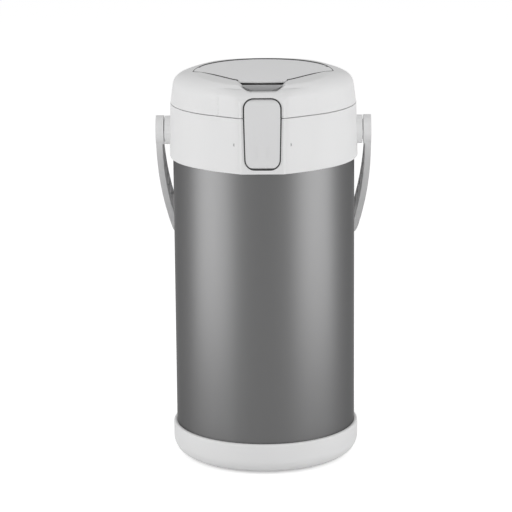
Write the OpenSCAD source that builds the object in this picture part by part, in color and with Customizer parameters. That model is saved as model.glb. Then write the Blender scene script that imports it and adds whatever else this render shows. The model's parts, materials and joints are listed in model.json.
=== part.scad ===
// Three-litre pump pot: a steel vacuum liner inside a painted case, with a press-plate pump
// in a hinged lid, a fold-down spout panel at the front and a swinging carry bail.
// Front is -Y, up is +Z, and the origin is the centre of the footprint.

/* [Case] */
// Outside diameter of the painted case
case_d = 145; // [143:0.5:147]
// Height at which the case meets the shoulder ring
case_top = 246.1; // [242:0.5:262]
// Sheet thickness of the case
case_wall = 0.8; // [0.6:0.1:1]

/* [Base cup] */
// Height of the base cup's rim
base_h = 26.5; // [24:0.5:32]
// How far the base cup stands out from the case
base_proud = 2.65; // [2.4:0.1:3.2]
// Radius of the base cup's lower corner
base_round = 12.5; // [10:0.5:14]
// How far the rubber foot stands below the base cup
foot_proud = 1; // [0.6:0.1:1.6]
// Mean diameter of the rubber foot
foot_d = 108; // [104:1:112]
// Width of the rubber foot
foot_w = 8; // [5:0.5:9]

/* [Vacuum liner] */
// Gap between the liner's jacket and the case
liner_gap = 0.8; // [0.5:0.1:2]
// Sheet thickness of the liner
liner_wall = 0.6; // [0.5:0.1:0.8]
// Vacuum space between jacket and flask
vacuum_gap = 3.3; // [2.5:0.1:5]
// Outside diameter of the liner's neck
neck_d = 72; // [70:0.5:73]
// Height of the liner's shoulder
liner_shoulder_h = 30; // [24:1:32]

/* [Shoulder ring] */
// Height of the shoulder ring
ring_h = 43.6; // [42.8:0.1:46]
// How far the ring's lower edge stands out from the case
ring_proud = 2.6; // [2.4:0.1:3]
// Inward lean of the ring's wall from its lower edge to the parting line
ring_lean = 1; // [0.6:0.1:1.4]
// Wall thickness of the ring
ring_wall = 2.4; // [2:0.1:2.5]
// How far the front pad stands out from the ring
pad_proud = 2.3; // [2:0.1:2.6]
// Half-width of the front pad's flat face
pad_half_w = 17; // [16.6:0.1:18]

/* [Lid] */
// Height of the lid's crown above the parting line
lid_h = 27.3; // [27:0.1:29]
// Radius of the lid's rounded shoulder
lid_round = 14; // [12:0.5:15]
// Wall thickness of the lid
lid_wall = 2.4; // [2:0.1:2.6]
// Fore-and-aft radius of the lid's crown
crown_r = 630; // [560:10:800]
// Line at which lid and ring part
parting_gap = 0.6; // [0.4:0.1:0.8]

/* [Press plate] */
// Radius of the press plate's round edge
plate_r = 57.3; // [56:0.1:57.5]
// Distance from the axis to the plate's two straight front edges
plate_flat = 49.2; // [48.8:0.1:49.8]
// Distance from the axis to the tip of the plate's nose
plate_nose = 55; // [54.4:0.1:55.6]
// Gap between the press plate and the lid
plate_gap = 0.9; // [0.7:0.1:1.1]
// Thickness of the press plate
plate_t = 2.4; // [2:0.1:2.8]
// Travel of the press plate
press_travel = 14; // [10:0.5:14.5]

/* [Spout panel] */
// Width of the spout panel at the parting line
panel_w = 30; // [29:0.2:30.4]
// Width of the spout panel at its lower end
panel_w_low = 28.4; // [28:0.2:30]
// Height of the spout panel
panel_h = 54.5; // [53:0.5:54.5]
// Corner radius of the spout panel
panel_round = 7.5; // [6:0.5:9]
// Thickness of the spout panel
panel_t = 2.4; // [2:0.1:2.8]
// Gap around the spout panel
panel_gap = 1.1; // [0.9:0.1:1.2]
// Depth of the trough's side walls behind the panel
trough_depth = 5.2; // [4:0.1:5.4]

/* [Carry bail] */
// Distance from the pivot to the inner side of the crossbar
bail_reach = 129; // [126:0.5:134]
// Width of the bail's strip
bail_w = 22; // [18:0.5:23]
// Thickness of the bail's arms
bail_t = 5; // [4:0.2:5.6]
// Lean of the bail from straight down at rest
bail_lean = 39.4; // [39.2:0.1:42]
// Diameter of the lugs that carry the bail
lug_d = 22.8; // [20:0.2:24]
// Diameter of the bail's pivot pins
bail_pin_d = 8; // [6:0.5:9]

/* [Pump] */
// Outside diameter of the bellows
bellows_d = 84; // [76:1:86]
// Depth of the bellows' folds
bellows_fold = 7; // [5:0.5:9]
// Wall thickness of the bellows
bellows_wall = 0.8; // [0.6:0.1:1]
// Wire diameter of the return spring
spring_wire = 1.6; // [1.2:0.1:2]
// Outside diameter of the return spring
spring_d = 26; // [22:1:32]
// Outside diameter of the dip tube
dip_tube_d = 12; // [10:0.5:13]
// Outside diameter of the elbow pipe
pipe_d = 9; // [8:0.5:9.4]

/* [Hinge] */
// Diameter of the lid's hinge pin
hinge_pin_d = 4; // [3:0.2:4.6]
// Outside diameter of the hinge's knuckles
knuckle_d = 9.4; // [8.6:0.1:9.8]
// Width of the lid's knuckle
knuckle_w = 24; // [18:1:28]

/* [Latch tab] */
// Height of the finger scoop's floor above the parting line
scoop_z = 19.5; // [19:0.1:20]
// Half-width of the finger scoop at the lid's top
scoop_half_w = 19; // [18:0.5:20]
// Sliding travel of the latch tab
tab_travel = 2.4; // [2:0.1:2.6]

/* [Hidden] */
$fn = 96;
eps = 0.02;
big = 400;
arc_n = 8;

// Clearances
slip = 0.15;          // parts that slide together by hand
pin_gap = 0.05;       // radial gap of a pin in its bore
seat = 0.3;           // curved parts that lie close without touching

// Case and base
case_r = case_d / 2;
case_in_r = case_r - case_wall;
case_z0 = 9.5;
case_flange_r = case_in_r - 5;
base_r = case_r + base_proud;
base_z0 = foot_proud;
base_floor_z = 5.6;
base_rim_round = 1.6;
foot_h = foot_proud + 2;
foot_button_r = 9;
base_screw_ring_r = 38;
base_screw_r = 1.8;
base_boss_r = 5;

// Vacuum liner
jacket_r = case_in_r - liner_gap;
jacket_z0 = 19;
jacket_round = 12;
support_z0 = case_z0 + case_wall;
support_t = 2.4;
cushion_r = 46;
cushion_w = 12;
neck_r = neck_d / 2;
neck_in_r = neck_r - liner_wall - 2;
flask_r = jacket_r - liner_wall - vacuum_gap;
flask_z0 = jacket_z0 + liner_wall + vacuum_gap;

// Shoulder ring
ring_z0 = case_top;
parting_z = ring_z0 + ring_h;
ring_r0 = case_r + ring_proud;
ring_r1 = ring_r0 - ring_lean;
ring_in_r = ring_r0 - ring_wall - 0.1;
pad_tilt = atan(ring_lean / 2 / ring_h);
pad_corner = 3;
pad_foot_x = 21.6;
pad_fillet = 9;
case_z1 = ring_z0 + 1.8;
deck_z1 = parting_z - 25.7;
deck_t = 2.5;
lip_z = deck_z1;
jacket_shoulder_z = deck_z1 - 12 - liner_shoulder_h;
gasket_h = 2;
collar_top_z = lip_z + gasket_h + 3;
collar_in_r = neck_in_r - 1.6;
collar_r = 49.6;
collar_screw_ring_r = 43.6;
collar_screw_r = 1.5;

// Spout pivot and panel
panel_z1 = parting_z + 14.9;
panel_z0 = panel_z1 - panel_h;
pad_y = -(ring_r0 + pad_proud);
panel_y = pad_y + ring_lean / 2 - 0.1;
spout_y = panel_y + 5.5;
spout_z = panel_z0 + 18.7;
spout_pin_r = 1.5;
trough_half_w = 12.6;
trough_wall = 1.6;
panel_ease = 1;
sweep_r = norm([panel_y - spout_y, spout_z - panel_z0]);
niche_r = sweep_r + 0.1;
niche_half_w = panel_w / 2 + panel_gap - 0.4;
niche_wall = 1.1;
niche_back_y = spout_y + niche_r;
niche_top_z = parting_z - 2.9;
plug_x = 21.6;
plug_w = 2;
plug_h = 3.6;

// Stopper, pipe and ports
stopper_z0 = lip_z - 12;
stopper_r = collar_in_r - seat;
flange_t = 3;
flange_top_z = collar_top_z + flange_t;
pipe_z = parting_z - 9.7;
pipe_r = pipe_d / 2;
pipe_wall = 1.2;
riser_r = 7.2;
riser_rib_t = 1.4;
riser_rib_h = 1.6;
valve_r = 4.6;
ball_r = 3.6;
ball_seat_r = 2.4;
tube_r = dip_tube_d / 2;
tube_wall = 1;
tube_z1 = stopper_z0 + 9;
tube_z0 = flask_z0 + liner_wall + 3;
nozzle_y = spout_y + 10.5;
sleeve_y = niche_back_y - 0.5;
nozzle_wall = 1.5;
nozzle_tip_z = spout_z + 5.2;
port_y = 20;
port_r = 3.4;
port_collar_r = 6.4;
port_top_z = parting_z - 6.6;

// Bail
pivot_z = ring_z0 + 20.7;
pivot_r = lug_d / 2;
lug_x = ring_r0 + 3.6;
washer_t = 0.6;
washer_w = 4;
arm_in_x = lug_x + washer_t + 0.2;
arm_boss_t = 6.4;
bail_out_x = arm_in_x + arm_boss_t;
bail_arc_r = 530;
bail_straight = 18;
bail_corner_r = 26;
bail_pin_r = bail_pin_d / 2;
bail_head_r = bail_pin_r + 3.2;
bail_head_t = 1.4;
rib_t = 1.4;
channel_d = 2.2;

// Lid
lid_z0 = parting_z + parting_gap / 2;
lid_top_z = parting_z + lid_h;
lid_r = ring_r1 - 0.2;
lid_side_lean = 1.7;
lid_arc_r = lid_r - lid_round - lid_side_lean;
lid_arc_z = lid_top_z - 0.5 - lid_round;
lid_base_r = lid_r - lid_wall - 0.6;
floor_top_z = parting_z - 0.3;
floor_t = 2.2;
floor_step = 4.9;
floor_r = lid_base_r - floor_step;
well_wall = 1.6;
well_z0 = floor_top_z + 3.6;
plate_cy = -1;
tip_round = 7;
nose_cy = -(plate_nose - plate_flat) / (1 - sqrt(0.5));
nose_r = plate_nose + nose_cy;
screw_ring_r = floor_r - 2;
screw_boss_r = 3.4;
lid_screw_r = 1.4;
lid_screw_h = 11;
brow_r = 1.1 - pad_y;
brow_round = 11.5;
brow_arc_z = parting_z + 10.3;
scoop_low_w = 10.8;
scoop_round = 9;
scoop_lip_y = pad_y - 12.6;

// Press plate and bellows
crown_z = lid_top_z - 0.2;
nose_lip = 0.7;
nose_z = crown_z - plate_nose * plate_nose / (2 * crown_r) - nose_lip;
nose_open_x = 18.5;
skirt_h = 6;
skirt_t = 1.8;
pusher_z0 = crown_z - 5.9;
pusher_t = 1.8;
stop_ring_r = 24;
stop_r = 2.6;
pusher_r = bellows_d / 2 + 1;
bellows_z0 = floor_top_z;
bellows_r = bellows_d / 2;
bellows_folds = 4;
spring_turns = 5;
plate_screw_ring_r = 30;
plate_screw_r = 1.3;
plate_screw_h = 1.4;

// Hinge
hinge_y = ring_r1 + 5.1;
hinge_z = parting_z - 1.2;
knuckle_r = knuckle_d / 2;
hinge_pin_r = hinge_pin_d / 2;
ear_w = 8;
ear_gap = 0.4;

// Latch tab
tab_inset = 9.4;
tab_y = tab_inset - lid_r;
tab_t = 2.2;
tab_gap = 0.6;
tab_top_z = scoop_z + parting_z + 4.3;
tab_leg_x = 19.6;
tab_leg_w = 3.6;
tab_arm_z = parting_z + 9;
tab_stem_x = 8.6;
tab_slot_x = 12;
tab_hook_z = parting_z - 5;
tab_hook_h = 2.6;
keeper_gap = 0.3;
tab_spring_x = 17;
tab_spring_t = 0.4;
tab_spring_h = 2.4;
tab_spring_bow = 2.9;

// Colours
paint_grey = [0.40, 0.40, 0.41];
shell_white = [0.89, 0.89, 0.89];
panel_white = [0.83, 0.83, 0.83];
tab_grey = [0.60, 0.60, 0.60];
seal_clear = [0.86, 0.84, 0.78];
rubber_dark = [0.25, 0.25, 0.26];

// ---------------------------------------------------------------- outlines

function unit(v) = v / norm(v);

// Points of an arc about c, from angle a0 to a1
function arc(c, r, a0, a1, n = arc_n) =
    [for (i = [0:n]) c + r * [cos(a0 + (a1 - a0) * i / n), sin(a0 + (a1 - a0) * i / n)]];

// Signed turn from angle a to angle b, within half a turn
function turn(a, b) = let (d = b - a) d > 180 ? d - 360 : d < -180 ? d + 360 : d;

// Arc that rounds the corner p1 of the path p0, p1, p2
function corner(p0, p1, p2, r, n = arc_n) =
    let (a = unit(p0 - p1), b = unit(p2 - p1), half = acos(a * b) / 2)
    let (c = p1 + unit(a + b) * r / sin(half), run = r / tan(half))
    let (s = p1 + a * run - c, e = p1 + b * run - c)
    let (a0 = atan2(s.y, s.x), sweep = turn(a0, atan2(e.y, e.x)))
    arc(c, r, a0, a0 + sweep, n);

// A closed polygon with each corner rounded by its own radius
function rounded(pts, radii, n = arc_n) =
    let (m = len(pts))
    [for (i = [0:m - 1]) each radii[i] > 0
        ? corner(pts[(i + m - 1) % m], pts[i], pts[(i + 1) % m], radii[i], n)
        : [pts[i]]];

function mirrored_x(pts) = [for (i = [len(pts) - 1:-1:0]) [-pts[i].x, pts[i].y]];

// Centre of the fillet between the plate's circle and its straight edge
function fillet_centre(g, rho) =
    let (u = [cos(-45), sin(-45)], v = [cos(45), sin(45)], c = [0, plate_cy])
    let (reach = plate_flat + g - rho - c * u)
    u * (plate_flat + g - rho) + v * (c * v + sqrt(pow(plate_r + g - rho, 2) - reach * reach));

// Right half of the press plate's outline, grown by g, from the nose to the back
function plate_half(g) =
    let (c = [0, plate_cy], tip = fillet_centre(g, tip_round))
    let (tip_a = atan2(tip.y - c.y, tip.x))
    concat(
        arc([0, nose_cy], nose_r + g, -90, -45, 10),
        arc(tip, tip_round, -45, tip_a),
        arc(c, plate_r + g, tip_a + 4, 90, 20)
    );

module plate_outline(g = 0) {
    half = plate_half(g);
    polygon(concat(half, mirrored_x(half)));
}

// Front view of the spout panel, grown by g
module panel_outline(g = 0) {
    w1 = panel_w / 2 + g;
    w0 = panel_w_low / 2 + g;
    z0 = panel_z0 - g;
    z1 = panel_z1 + g;
    r = panel_round + g;
    polygon(rounded([[-w0, z0], [w0, z0], [w1, parting_z], [w1, z1], [-w1, z1], [-w1, parting_z]],
                    [r, r, 0, r, r, 0]));
}

// Front view of the finger scoop, shrunk by g
module scoop_outline(g = 0) {
    w1 = scoop_half_w - g;
    z0 = parting_z + scoop_z + g;
    polygon(rounded([[-scoop_low_w + g / 2, z0], [scoop_low_w - g / 2, z0],
                     [w1, lid_top_z - 2], [w1, lid_top_z + 10], [-w1, lid_top_z + 10],
                     [-w1, lid_top_z - 2]],
                    [scoop_round, scoop_round, 0, 0, 0, 0]));
}

// ---------------------------------------------------------------- building blocks

module disc(r, z0, z1) {
    translate([0, 0, z0]) cylinder(r = r, h = z1 - z0);
}

module tube(r, r_in, z0, z1) {
    difference() {
        disc(r, z0, z1);
        disc(r_in, z0 - 1, z1 + 1);
    }
}

// A rod along X from x0 to x1
module rod_x(r, x0, x1, y, z) {
    translate([x0, y, z]) rotate([0, 90, 0]) cylinder(r = r, h = x1 - x0);
}

// A rod along Y from y0 to y1
module rod_y(r, y0, y1, x, z) {
    translate([x, y0, z]) rotate([-90, 0, 0]) cylinder(r = r, h = y1 - y0);
}

// A block from its lowest corner to its highest
module block(low, high) {
    translate(low) cube(high - low);
}

module both_sides() {
    children();
    mirror([1, 0, 0]) children();
}

module around(n, start = 0) {
    for (i = [0:n - 1]) rotate([0, 0, start + i * 360 / n]) children();
}

// An XZ outline carried along Y
module along_y(y0, y1) {
    translate([0, y1, 0]) rotate([90, 0, 0]) linear_extrude(y1 - y0) children();
}

// A YZ outline carried along X
module along_x(x0, x1) {
    translate([x0, 0, 0]) rotate([90, 0, 90]) linear_extrude(x1 - x0) children();
}

// The fore-and-aft crown that cuts the lid's top, lowered by drop
module crown(drop = 0) {
    rod_x(crown_r - drop, -big / 2, big / 2, 0, lid_top_z - crown_r);
}

// A countersunk self-tapping screw, head down at z0
module screw_up(r, z0, z1, head_r, head_h) {
    disc(head_r, z0, z0 + head_h);
    disc(r, z0 + head_h - eps, z1);
}

// A helix of round wire about Z, as one closed sweep
module coil(r, wire_r, turns, h, per_turn) {
    sides = 8;
    steps = turns * per_turn;
    points = [for (i = [0:steps]) let (a = 360 * turns * i / steps, z = h * i / steps)
        for (k = [0:sides - 1]) let (b = 360 * k / sides, q = r + wire_r * cos(b))
            [q * cos(a), q * sin(a), z + wire_r * sin(b)]];
    faces = concat(
        [[for (k = [sides - 1:-1:0]) k]],
        [for (i = [0:steps - 1]) for (k = [0:sides - 1]) let (m = (k + 1) % sides) each [
            [i * sides + k, i * sides + m, (i + 1) * sides + k],
            [i * sides + m, (i + 1) * sides + m, (i + 1) * sides + k]]],
        [[for (k = [0:sides - 1]) steps * sides + k]]
    );
    polyhedron(points, faces, convexity = 10);
}

// Solid of a bottle: straight side, rounded bottom corner, elliptic shoulder and neck
function bottle(r, z0, corner_r, shoulder_z, shoulder_h, neck, top_z) = concat(
    [[0, z0]],
    arc([r - corner_r, z0 + corner_r], corner_r, -90, 0),
    [for (i = [0:12]) let (a = 90 * i / 12)
        [neck + (r - neck) * cos(a), shoulder_z + shoulder_h * sin(a)]],
    [[neck, top_z], [0, top_z]]
);

// ---------------------------------------------------------------- base

module base_cup() {
    inner_r = case_r + slip;
    color(shell_white) difference() {
        union() {
            rotate_extrude() polygon(concat(
                [[0, base_z0]],
                arc([base_r - base_round, base_z0 + base_round], base_round, -90, 0),
                arc([base_r - base_rim_round, base_h - base_rim_round], base_rim_round, 0, 90),
                [[inner_r, base_h], [inner_r, case_z0], [case_flange_r, case_z0]],
                [[case_flange_r - 3, base_floor_z], [0, base_floor_z]]
            ));
            around(3, 90) translate([base_screw_ring_r, 0, 0])
                disc(base_boss_r, base_floor_z - eps, case_z0 + case_wall);
            around(12) block([base_screw_ring_r + base_boss_r + 2, -0.8, base_floor_z - eps],
                             [case_flange_r - 1.5, 0.8, case_z0 - 1]);
        }
        tube(foot_d / 2 + foot_w / 2, foot_d / 2 - foot_w / 2, -1, foot_h);
        disc(foot_d / 2 - foot_w, -1, base_z0 + 1.2);
        around(3, 90) translate([base_screw_ring_r, 0, 0]) {
            disc(base_screw_r + 0.2, -1, case_z0 + case_wall + 1);
            disc(base_screw_r + 2.2, -1, base_z0 + 3.4);
        }
    }
}

module foot_ring() {
    color(rubber_dark) rotate_extrude() translate([foot_d / 2, 0]) polygon([
        [-foot_w / 2 + 1, 0], [foot_w / 2 - 1, 0], [foot_w / 2, foot_proud],
        [foot_w / 2, foot_h], [-foot_w / 2, foot_h], [-foot_w / 2, foot_proud]
    ]);
    color(rubber_dark) disc(foot_button_r, 0, base_z0 + 1.2);
}

module base_screws() {
    color("silver") around(3, 90) translate([base_screw_ring_r, 0, 0])
        screw_up(base_screw_r, base_z0 + 1.4, support_z0 + support_t + 1, base_screw_r + 2, 2);
}

module outer_case() {
    color(paint_grey) rotate_extrude() polygon([
        [case_flange_r, case_z0], [case_r - 1, case_z0], [case_r, case_z0 + 1], [case_r, case_z1],
        [case_in_r, case_z1], [case_in_r, case_z0 + case_wall], [case_flange_r, case_z0 + case_wall]
    ]);
}

module liner_support() {
    color("dimgray") difference() {
        union() {
            tube(case_in_r - slip, cushion_r - cushion_w - 4, support_z0, support_z0 + support_t);
            tube(case_in_r - slip, case_in_r - 2.4, support_z0, support_z0 + 7);
            tube(cushion_r + 2, cushion_r, support_z0, support_z0 + support_t + 1.4);
            around(3, 90) translate([base_screw_ring_r, 0, 0])
                disc(base_boss_r, support_z0, support_z0 + support_t + 1);
        }
        around(3, 90) translate([base_screw_ring_r, 0, 0])
            disc(base_screw_r + eps, support_z0 - 1, support_z0 + support_t + 2);
        around(6, 30) translate([case_flange_r - 8, 0, 0])
            disc(4, support_z0 - 1, support_z0 + support_t + 1);
    }
}

module liner_cushion() {
    color(rubber_dark) difference() {
        tube(cushion_r - slip, cushion_r - cushion_w, support_z0 + support_t, jacket_z0);
        around(3, 90) translate([base_screw_ring_r, 0, 0])
            disc(base_boss_r + slip, support_z0, support_z0 + support_t + 1 + slip);
    }
}

// ---------------------------------------------------------------- vacuum liner

module liner_jacket() {
    color("silver") rotate_extrude() difference() {
        polygon(bottle(jacket_r, jacket_z0, jacket_round, jacket_shoulder_z, liner_shoulder_h,
                       neck_r, lip_z));
        polygon(bottle(jacket_r - liner_wall, jacket_z0 + liner_wall, jacket_round - liner_wall,
                       jacket_shoulder_z, liner_shoulder_h - liner_wall, neck_r - liner_wall,
                       lip_z + 1));
    }
}

module liner_flask() {
    shoulder_z = jacket_shoulder_z - vacuum_gap;
    color("gainsboro") rotate_extrude() {
        difference() {
            polygon(bottle(flask_r, flask_z0, jacket_round, shoulder_z, liner_shoulder_h,
                           neck_in_r + liner_wall, lip_z));
            polygon(bottle(flask_r - liner_wall, flask_z0 + liner_wall, jacket_round - liner_wall,
                           shoulder_z, liner_shoulder_h - liner_wall, neck_in_r, lip_z + 1));
        }
        translate([neck_in_r, lip_z - liner_wall])
            square([neck_r - liner_wall - neck_in_r, liner_wall]);
    }
}

module vacuum_cap() {
    color("silver") difference() {
        disc(14, jacket_z0 - 1.2, jacket_z0);
        disc(10, jacket_z0 - 2, jacket_z0 - 0.6);
    }
}

// ---------------------------------------------------------------- shoulder ring

// Plan of the front pad: a flat face, rounded corners and flanks that end in a point list
function pad_plan(flank, radii) = rounded(
    concat(flank_left(flank), [[-pad_half_w, pad_y], [pad_half_w, pad_y]], flank),
    concat([for (i = [len(radii) - 1:-1:0]) radii[i]], [pad_corner, pad_corner], radii));
function flank_left(flank) = [for (i = [len(flank) - 1:-1:0]) [-flank[i].x, flank[i].y]];
// Depth of the ring's circle at x, and of a point sunk under it
function ring_y(x, sunk = 0) = -sqrt(pow(ring_r0 - sunk, 2) - x * x);

module front_pad() {
    flank = [[pad_foot_x, ring_y(pad_foot_x)], [pad_foot_x + 9, ring_y(pad_foot_x + 9, 0.6)],
             [pad_foot_x + 6, -60]];
    intersection() {
        translate([0, -ring_r0, ring_z0]) rotate([-pad_tilt, 0, 0]) translate([0, ring_r0, -2])
            linear_extrude(ring_h + 4) polygon(pad_plan(flank, [pad_fillet, 0, 0]));
        tube(big, case_r + slip, ring_z0, parting_z - parting_gap / 2);
    }
}

module ring_wall_solid() {
    edge = 1;
    rotate_extrude() polygon(concat(
        [[case_r + slip, ring_z0]],
        arc([ring_r0 - edge, ring_z0 + edge], edge, -90, 0, 4),
        [[ring_r1, parting_z - parting_gap / 2],
         [ring_r1 - ring_wall, parting_z - parting_gap / 2],
         [ring_r1 - ring_wall, deck_z1], [neck_r + seat, deck_z1],
         [neck_r + seat, deck_z1 - deck_t], [ring_r1 - ring_wall - 3, deck_z1 - deck_t],
         [ring_in_r - 0.9, deck_z1 - deck_t - 4], [ring_in_r - 0.9, case_z1],
         [case_r + slip, case_z1]]
    ));
}

// Housing behind the spout panel, and its hollow
module niche_solid() {
    half = niche_half_w + niche_wall;
    front = -(ring_r0 - 1.5);
    intersection() {
        union() {
            rod_x(niche_r + niche_wall, -half, half, spout_y, spout_z);
            block([-half, front, spout_z],
                  [half, niche_back_y + niche_wall, niche_top_z]);
        }
        block([-half - 2, front, 0], [half + 2, niche_back_y + niche_wall, niche_top_z]);
    }
    both_sides() block([niche_half_w - 1.2, -(ring_r0 - 3.2), spout_z - 4.6],
                       [plug_x - 2, spout_y + 4.6, spout_z + 4.6]);
}

module niche_hollow() {
    half = niche_half_w;
    intersection() {
        union() {
            rod_x(niche_r, -half, half, spout_y, spout_z);
            block([-half, -big, spout_z], [half, niche_back_y, parting_z + 1]);
        }
        block([-big, -(ring_r0 - 3), 0], [big, big, big]);
    }
    along_y(-big, -(ring_r0 - 8)) panel_outline(panel_gap);
}

module hinge_ears() {
    both_sides() {
        x0 = knuckle_w / 2 + ear_gap;
        rod_x(knuckle_r, x0, x0 + ear_w, hinge_y, hinge_z);
        along_x(x0, x0 + ear_w) polygon([
            [ring_r1 - 3, hinge_z + 0.2], [ring_r1 - 3, hinge_z - 16], [ring_r1 + 1.4, hinge_z - 16],
            [hinge_y + knuckle_r, hinge_z - 3], [hinge_y + knuckle_r, hinge_z],
            [hinge_y - knuckle_r, hinge_z]
        ]);
    }
}

module keepers() {
    both_sides() block([tab_leg_x - 0.4, -(ring_r1 - 1.8), parting_z - 6],
                       [tab_leg_x + tab_leg_w + 0.4, tab_y - keeper_gap - 2, parting_z - 2.4]);
}

module shoulder_ring() {
    color(shell_white) difference() {
        union() {
            difference() {
                union() {
                    ring_wall_solid();
                    front_pad();
                    both_sides() rod_x(pivot_r, ring_in_r - 8, lug_x, 0, pivot_z);
                }
                disc(ring_r1 - ring_wall, deck_z1, parting_z + 1);
                disc(neck_r + seat, deck_z1 - deck_t - 9, deck_z1 + 1);
            }
            both_sides() rod_x(bail_pin_r + 3, ring_in_r - 8, ring_in_r, 0, pivot_z);
            niche_solid();
            keepers();
            hinge_ears();
            around(8, 22.5) block([collar_r + 2, -0.7, deck_z1 - deck_t - 3],
                                  [ring_in_r - 1.2, 0.7, deck_z1 - deck_t + eps]);
        }
        niche_hollow();
        tube(case_r + slip, case_in_r - slip, ring_z0 - 1, case_z1 + 0.1);
        block([-pipe_r - slip, niche_back_y - 1, pipe_z],
              [pipe_r + slip, niche_back_y + 4, parting_z + 1]);
        rod_y(pipe_r + slip, niche_back_y - 1, niche_back_y + 4, 0, pipe_z);
        rod_x(spout_pin_r + pin_gap, -plug_x + 1.6, plug_x - 1.6, spout_y, spout_z);
        both_sides() {
            rod_x(bail_pin_r + pin_gap, ring_in_r - 9, lug_x + 1, 0, pivot_z);
            translate([plug_x, 0, spout_z]) plug_shape(slip / 3, -big, -(ring_r0 - 4.4));
        }
        rod_x(hinge_pin_r + pin_gap, -big / 4, big / 4, hinge_y, hinge_z);
        around(4, 45) translate([collar_screw_ring_r, 0, 0])
            disc(collar_screw_r + pin_gap, deck_z1 - deck_t - 1, deck_z1 + 1);
    }
}

// A small upright oval carried along Y, about the origin
module plug_shape(g, y0, y1) {
    w = plug_w / 2 + g;
    straight = plug_h / 2 - plug_w / 2;
    along_y(y0, y1) {
        translate([0, straight]) circle(w);
        translate([0, -straight]) circle(w);
        square([2 * w, 2 * straight], center = true);
    }
}

// ---------------------------------------------------------------- mouth and stopper

module neck_gasket() {
    color(seal_clear) tube(neck_r - 0.2, neck_in_r + 0.2, lip_z, lip_z + gasket_h);
}

module mouth_collar() {
    color(shell_white) difference() {
        rotate_extrude() polygon([
            [collar_in_r, lip_z + gasket_h], [neck_r + seat, lip_z + gasket_h], [neck_r + seat, deck_z1],
            [collar_r, deck_z1], [collar_r, deck_z1 + 2], [collar_r - 3, collar_top_z - 1],
            [neck_r + 3, collar_top_z], [collar_in_r + 0.8, collar_top_z], [collar_in_r, collar_top_z - 0.8]
        ]);
        around(4, 45) translate([collar_screw_ring_r, 0, 0]) {
            disc(collar_screw_r + 0.2, deck_z1 - 1, collar_top_z + 1);
            disc(collar_screw_r + 1.8, deck_z1 + 1.9, collar_top_z + 1);
        }
    }
}

module collar_screws() {
    color("silver") around(4, 45) translate([collar_screw_ring_r, 0, 0]) {
        disc(collar_screw_r, deck_z1 - deck_t - 2, deck_z1 + 1.9 + eps);
        disc(collar_screw_r + 1.5, deck_z1 + 1.9, deck_z1 + 3.6);
    }
}

module stopper_body() {
    color(panel_white) difference() {
        union() {
            disc(neck_r - 0.5, collar_top_z, flange_top_z);
            disc(stopper_r, stopper_z0, collar_top_z + eps);
            disc(riser_r, flange_top_z - eps, pipe_z + pipe_r + 0.6);
            translate([0, port_y, 0]) disc(port_collar_r, flange_top_z - eps, port_top_z);
            around(6, 60) block([riser_r - 1, -riser_rib_t / 2, flange_top_z - eps],
                                [neck_r - 6, riser_rib_t / 2, flange_top_z + riser_rib_h]);
        }
        tube(stopper_r + 1, stopper_r - 1.8, stopper_z0 + 3, stopper_z0 + 6.4);
        disc(tube_r + pin_gap, stopper_z0 - 1, tube_z1);
        disc(ball_seat_r, tube_z1 - 1, tube_z1 + 2);
        disc(valve_r, tube_z1 + 1.6, pipe_z + pipe_r - 0.8);
        rod_y(pipe_r + pin_gap, -riser_r - 1, -valve_r + 0.6, 0, pipe_z);
        translate([0, port_y, 0]) disc(port_r, stopper_z0 - 1, port_top_z + 1);
    }
}

module stopper_gasket() {
    color(seal_clear) tube(neck_in_r - slip, stopper_r - 1.8 + 0.05, stopper_z0 + 3.2, stopper_z0 + 6.2);
}

module dip_tube() {
    color("silver") difference() {
        disc(tube_r, tube_z0, tube_z1);
        disc(tube_r - tube_wall, tube_z0 - 1, tube_z1 + 1);
        rod_x(tube_r * 0.6, -tube_r - 1, tube_r + 1, 0, tube_z0);
    }
}

module tip_valve_ball() {
    seated = sqrt(ball_r * ball_r - ball_seat_r * ball_seat_r);
    color("silver") translate([0, 0, tube_z1 + 1.6 + seated + eps]) sphere(ball_r);
}

module elbow_pipe() {
    color(panel_white) difference() {
        rod_y(pipe_r, sleeve_y - 4, -valve_r + 0.5, 0, pipe_z);
        rod_y(pipe_r - pipe_wall, sleeve_y - 5, 0, 0, pipe_z);
    }
}

// Spout tip: a sleeve ahead of the elbow pipe that turns the water down into the trough
module outlet_nozzle() {
    r = pipe_r;
    color(panel_white) difference() {
        union() {
            rod_y(r + 0.9, sleeve_y - 5, sleeve_y, 0, pipe_z);
            rod_y(r, nozzle_y, sleeve_y - 5 + eps, 0, pipe_z);
            translate([0, nozzle_y, pipe_z]) sphere(r);
            translate([0, nozzle_y, 0]) disc(r, nozzle_tip_z, pipe_z);
        }
        translate([0, nozzle_y, pipe_z]) sphere(r - nozzle_wall);
        translate([0, nozzle_y, 0]) disc(r - nozzle_wall, nozzle_tip_z - 1, pipe_z);
        rod_y(r - nozzle_wall, nozzle_y, sleeve_y, 0, pipe_z);
        rod_y(r + eps, sleeve_y - 4 - eps, sleeve_y + 1, 0, pipe_z);
    }
}

module port_seal() {
    color(seal_clear) translate([0, port_y, 0]) {
        tube(port_collar_r + 1, port_r, port_top_z, floor_top_z - floor_t - seat);
        tube(port_collar_r + 1, port_collar_r + 0.1, port_top_z - 2, port_top_z + eps);
    }
}

// ---------------------------------------------------------------- spout panel

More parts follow.
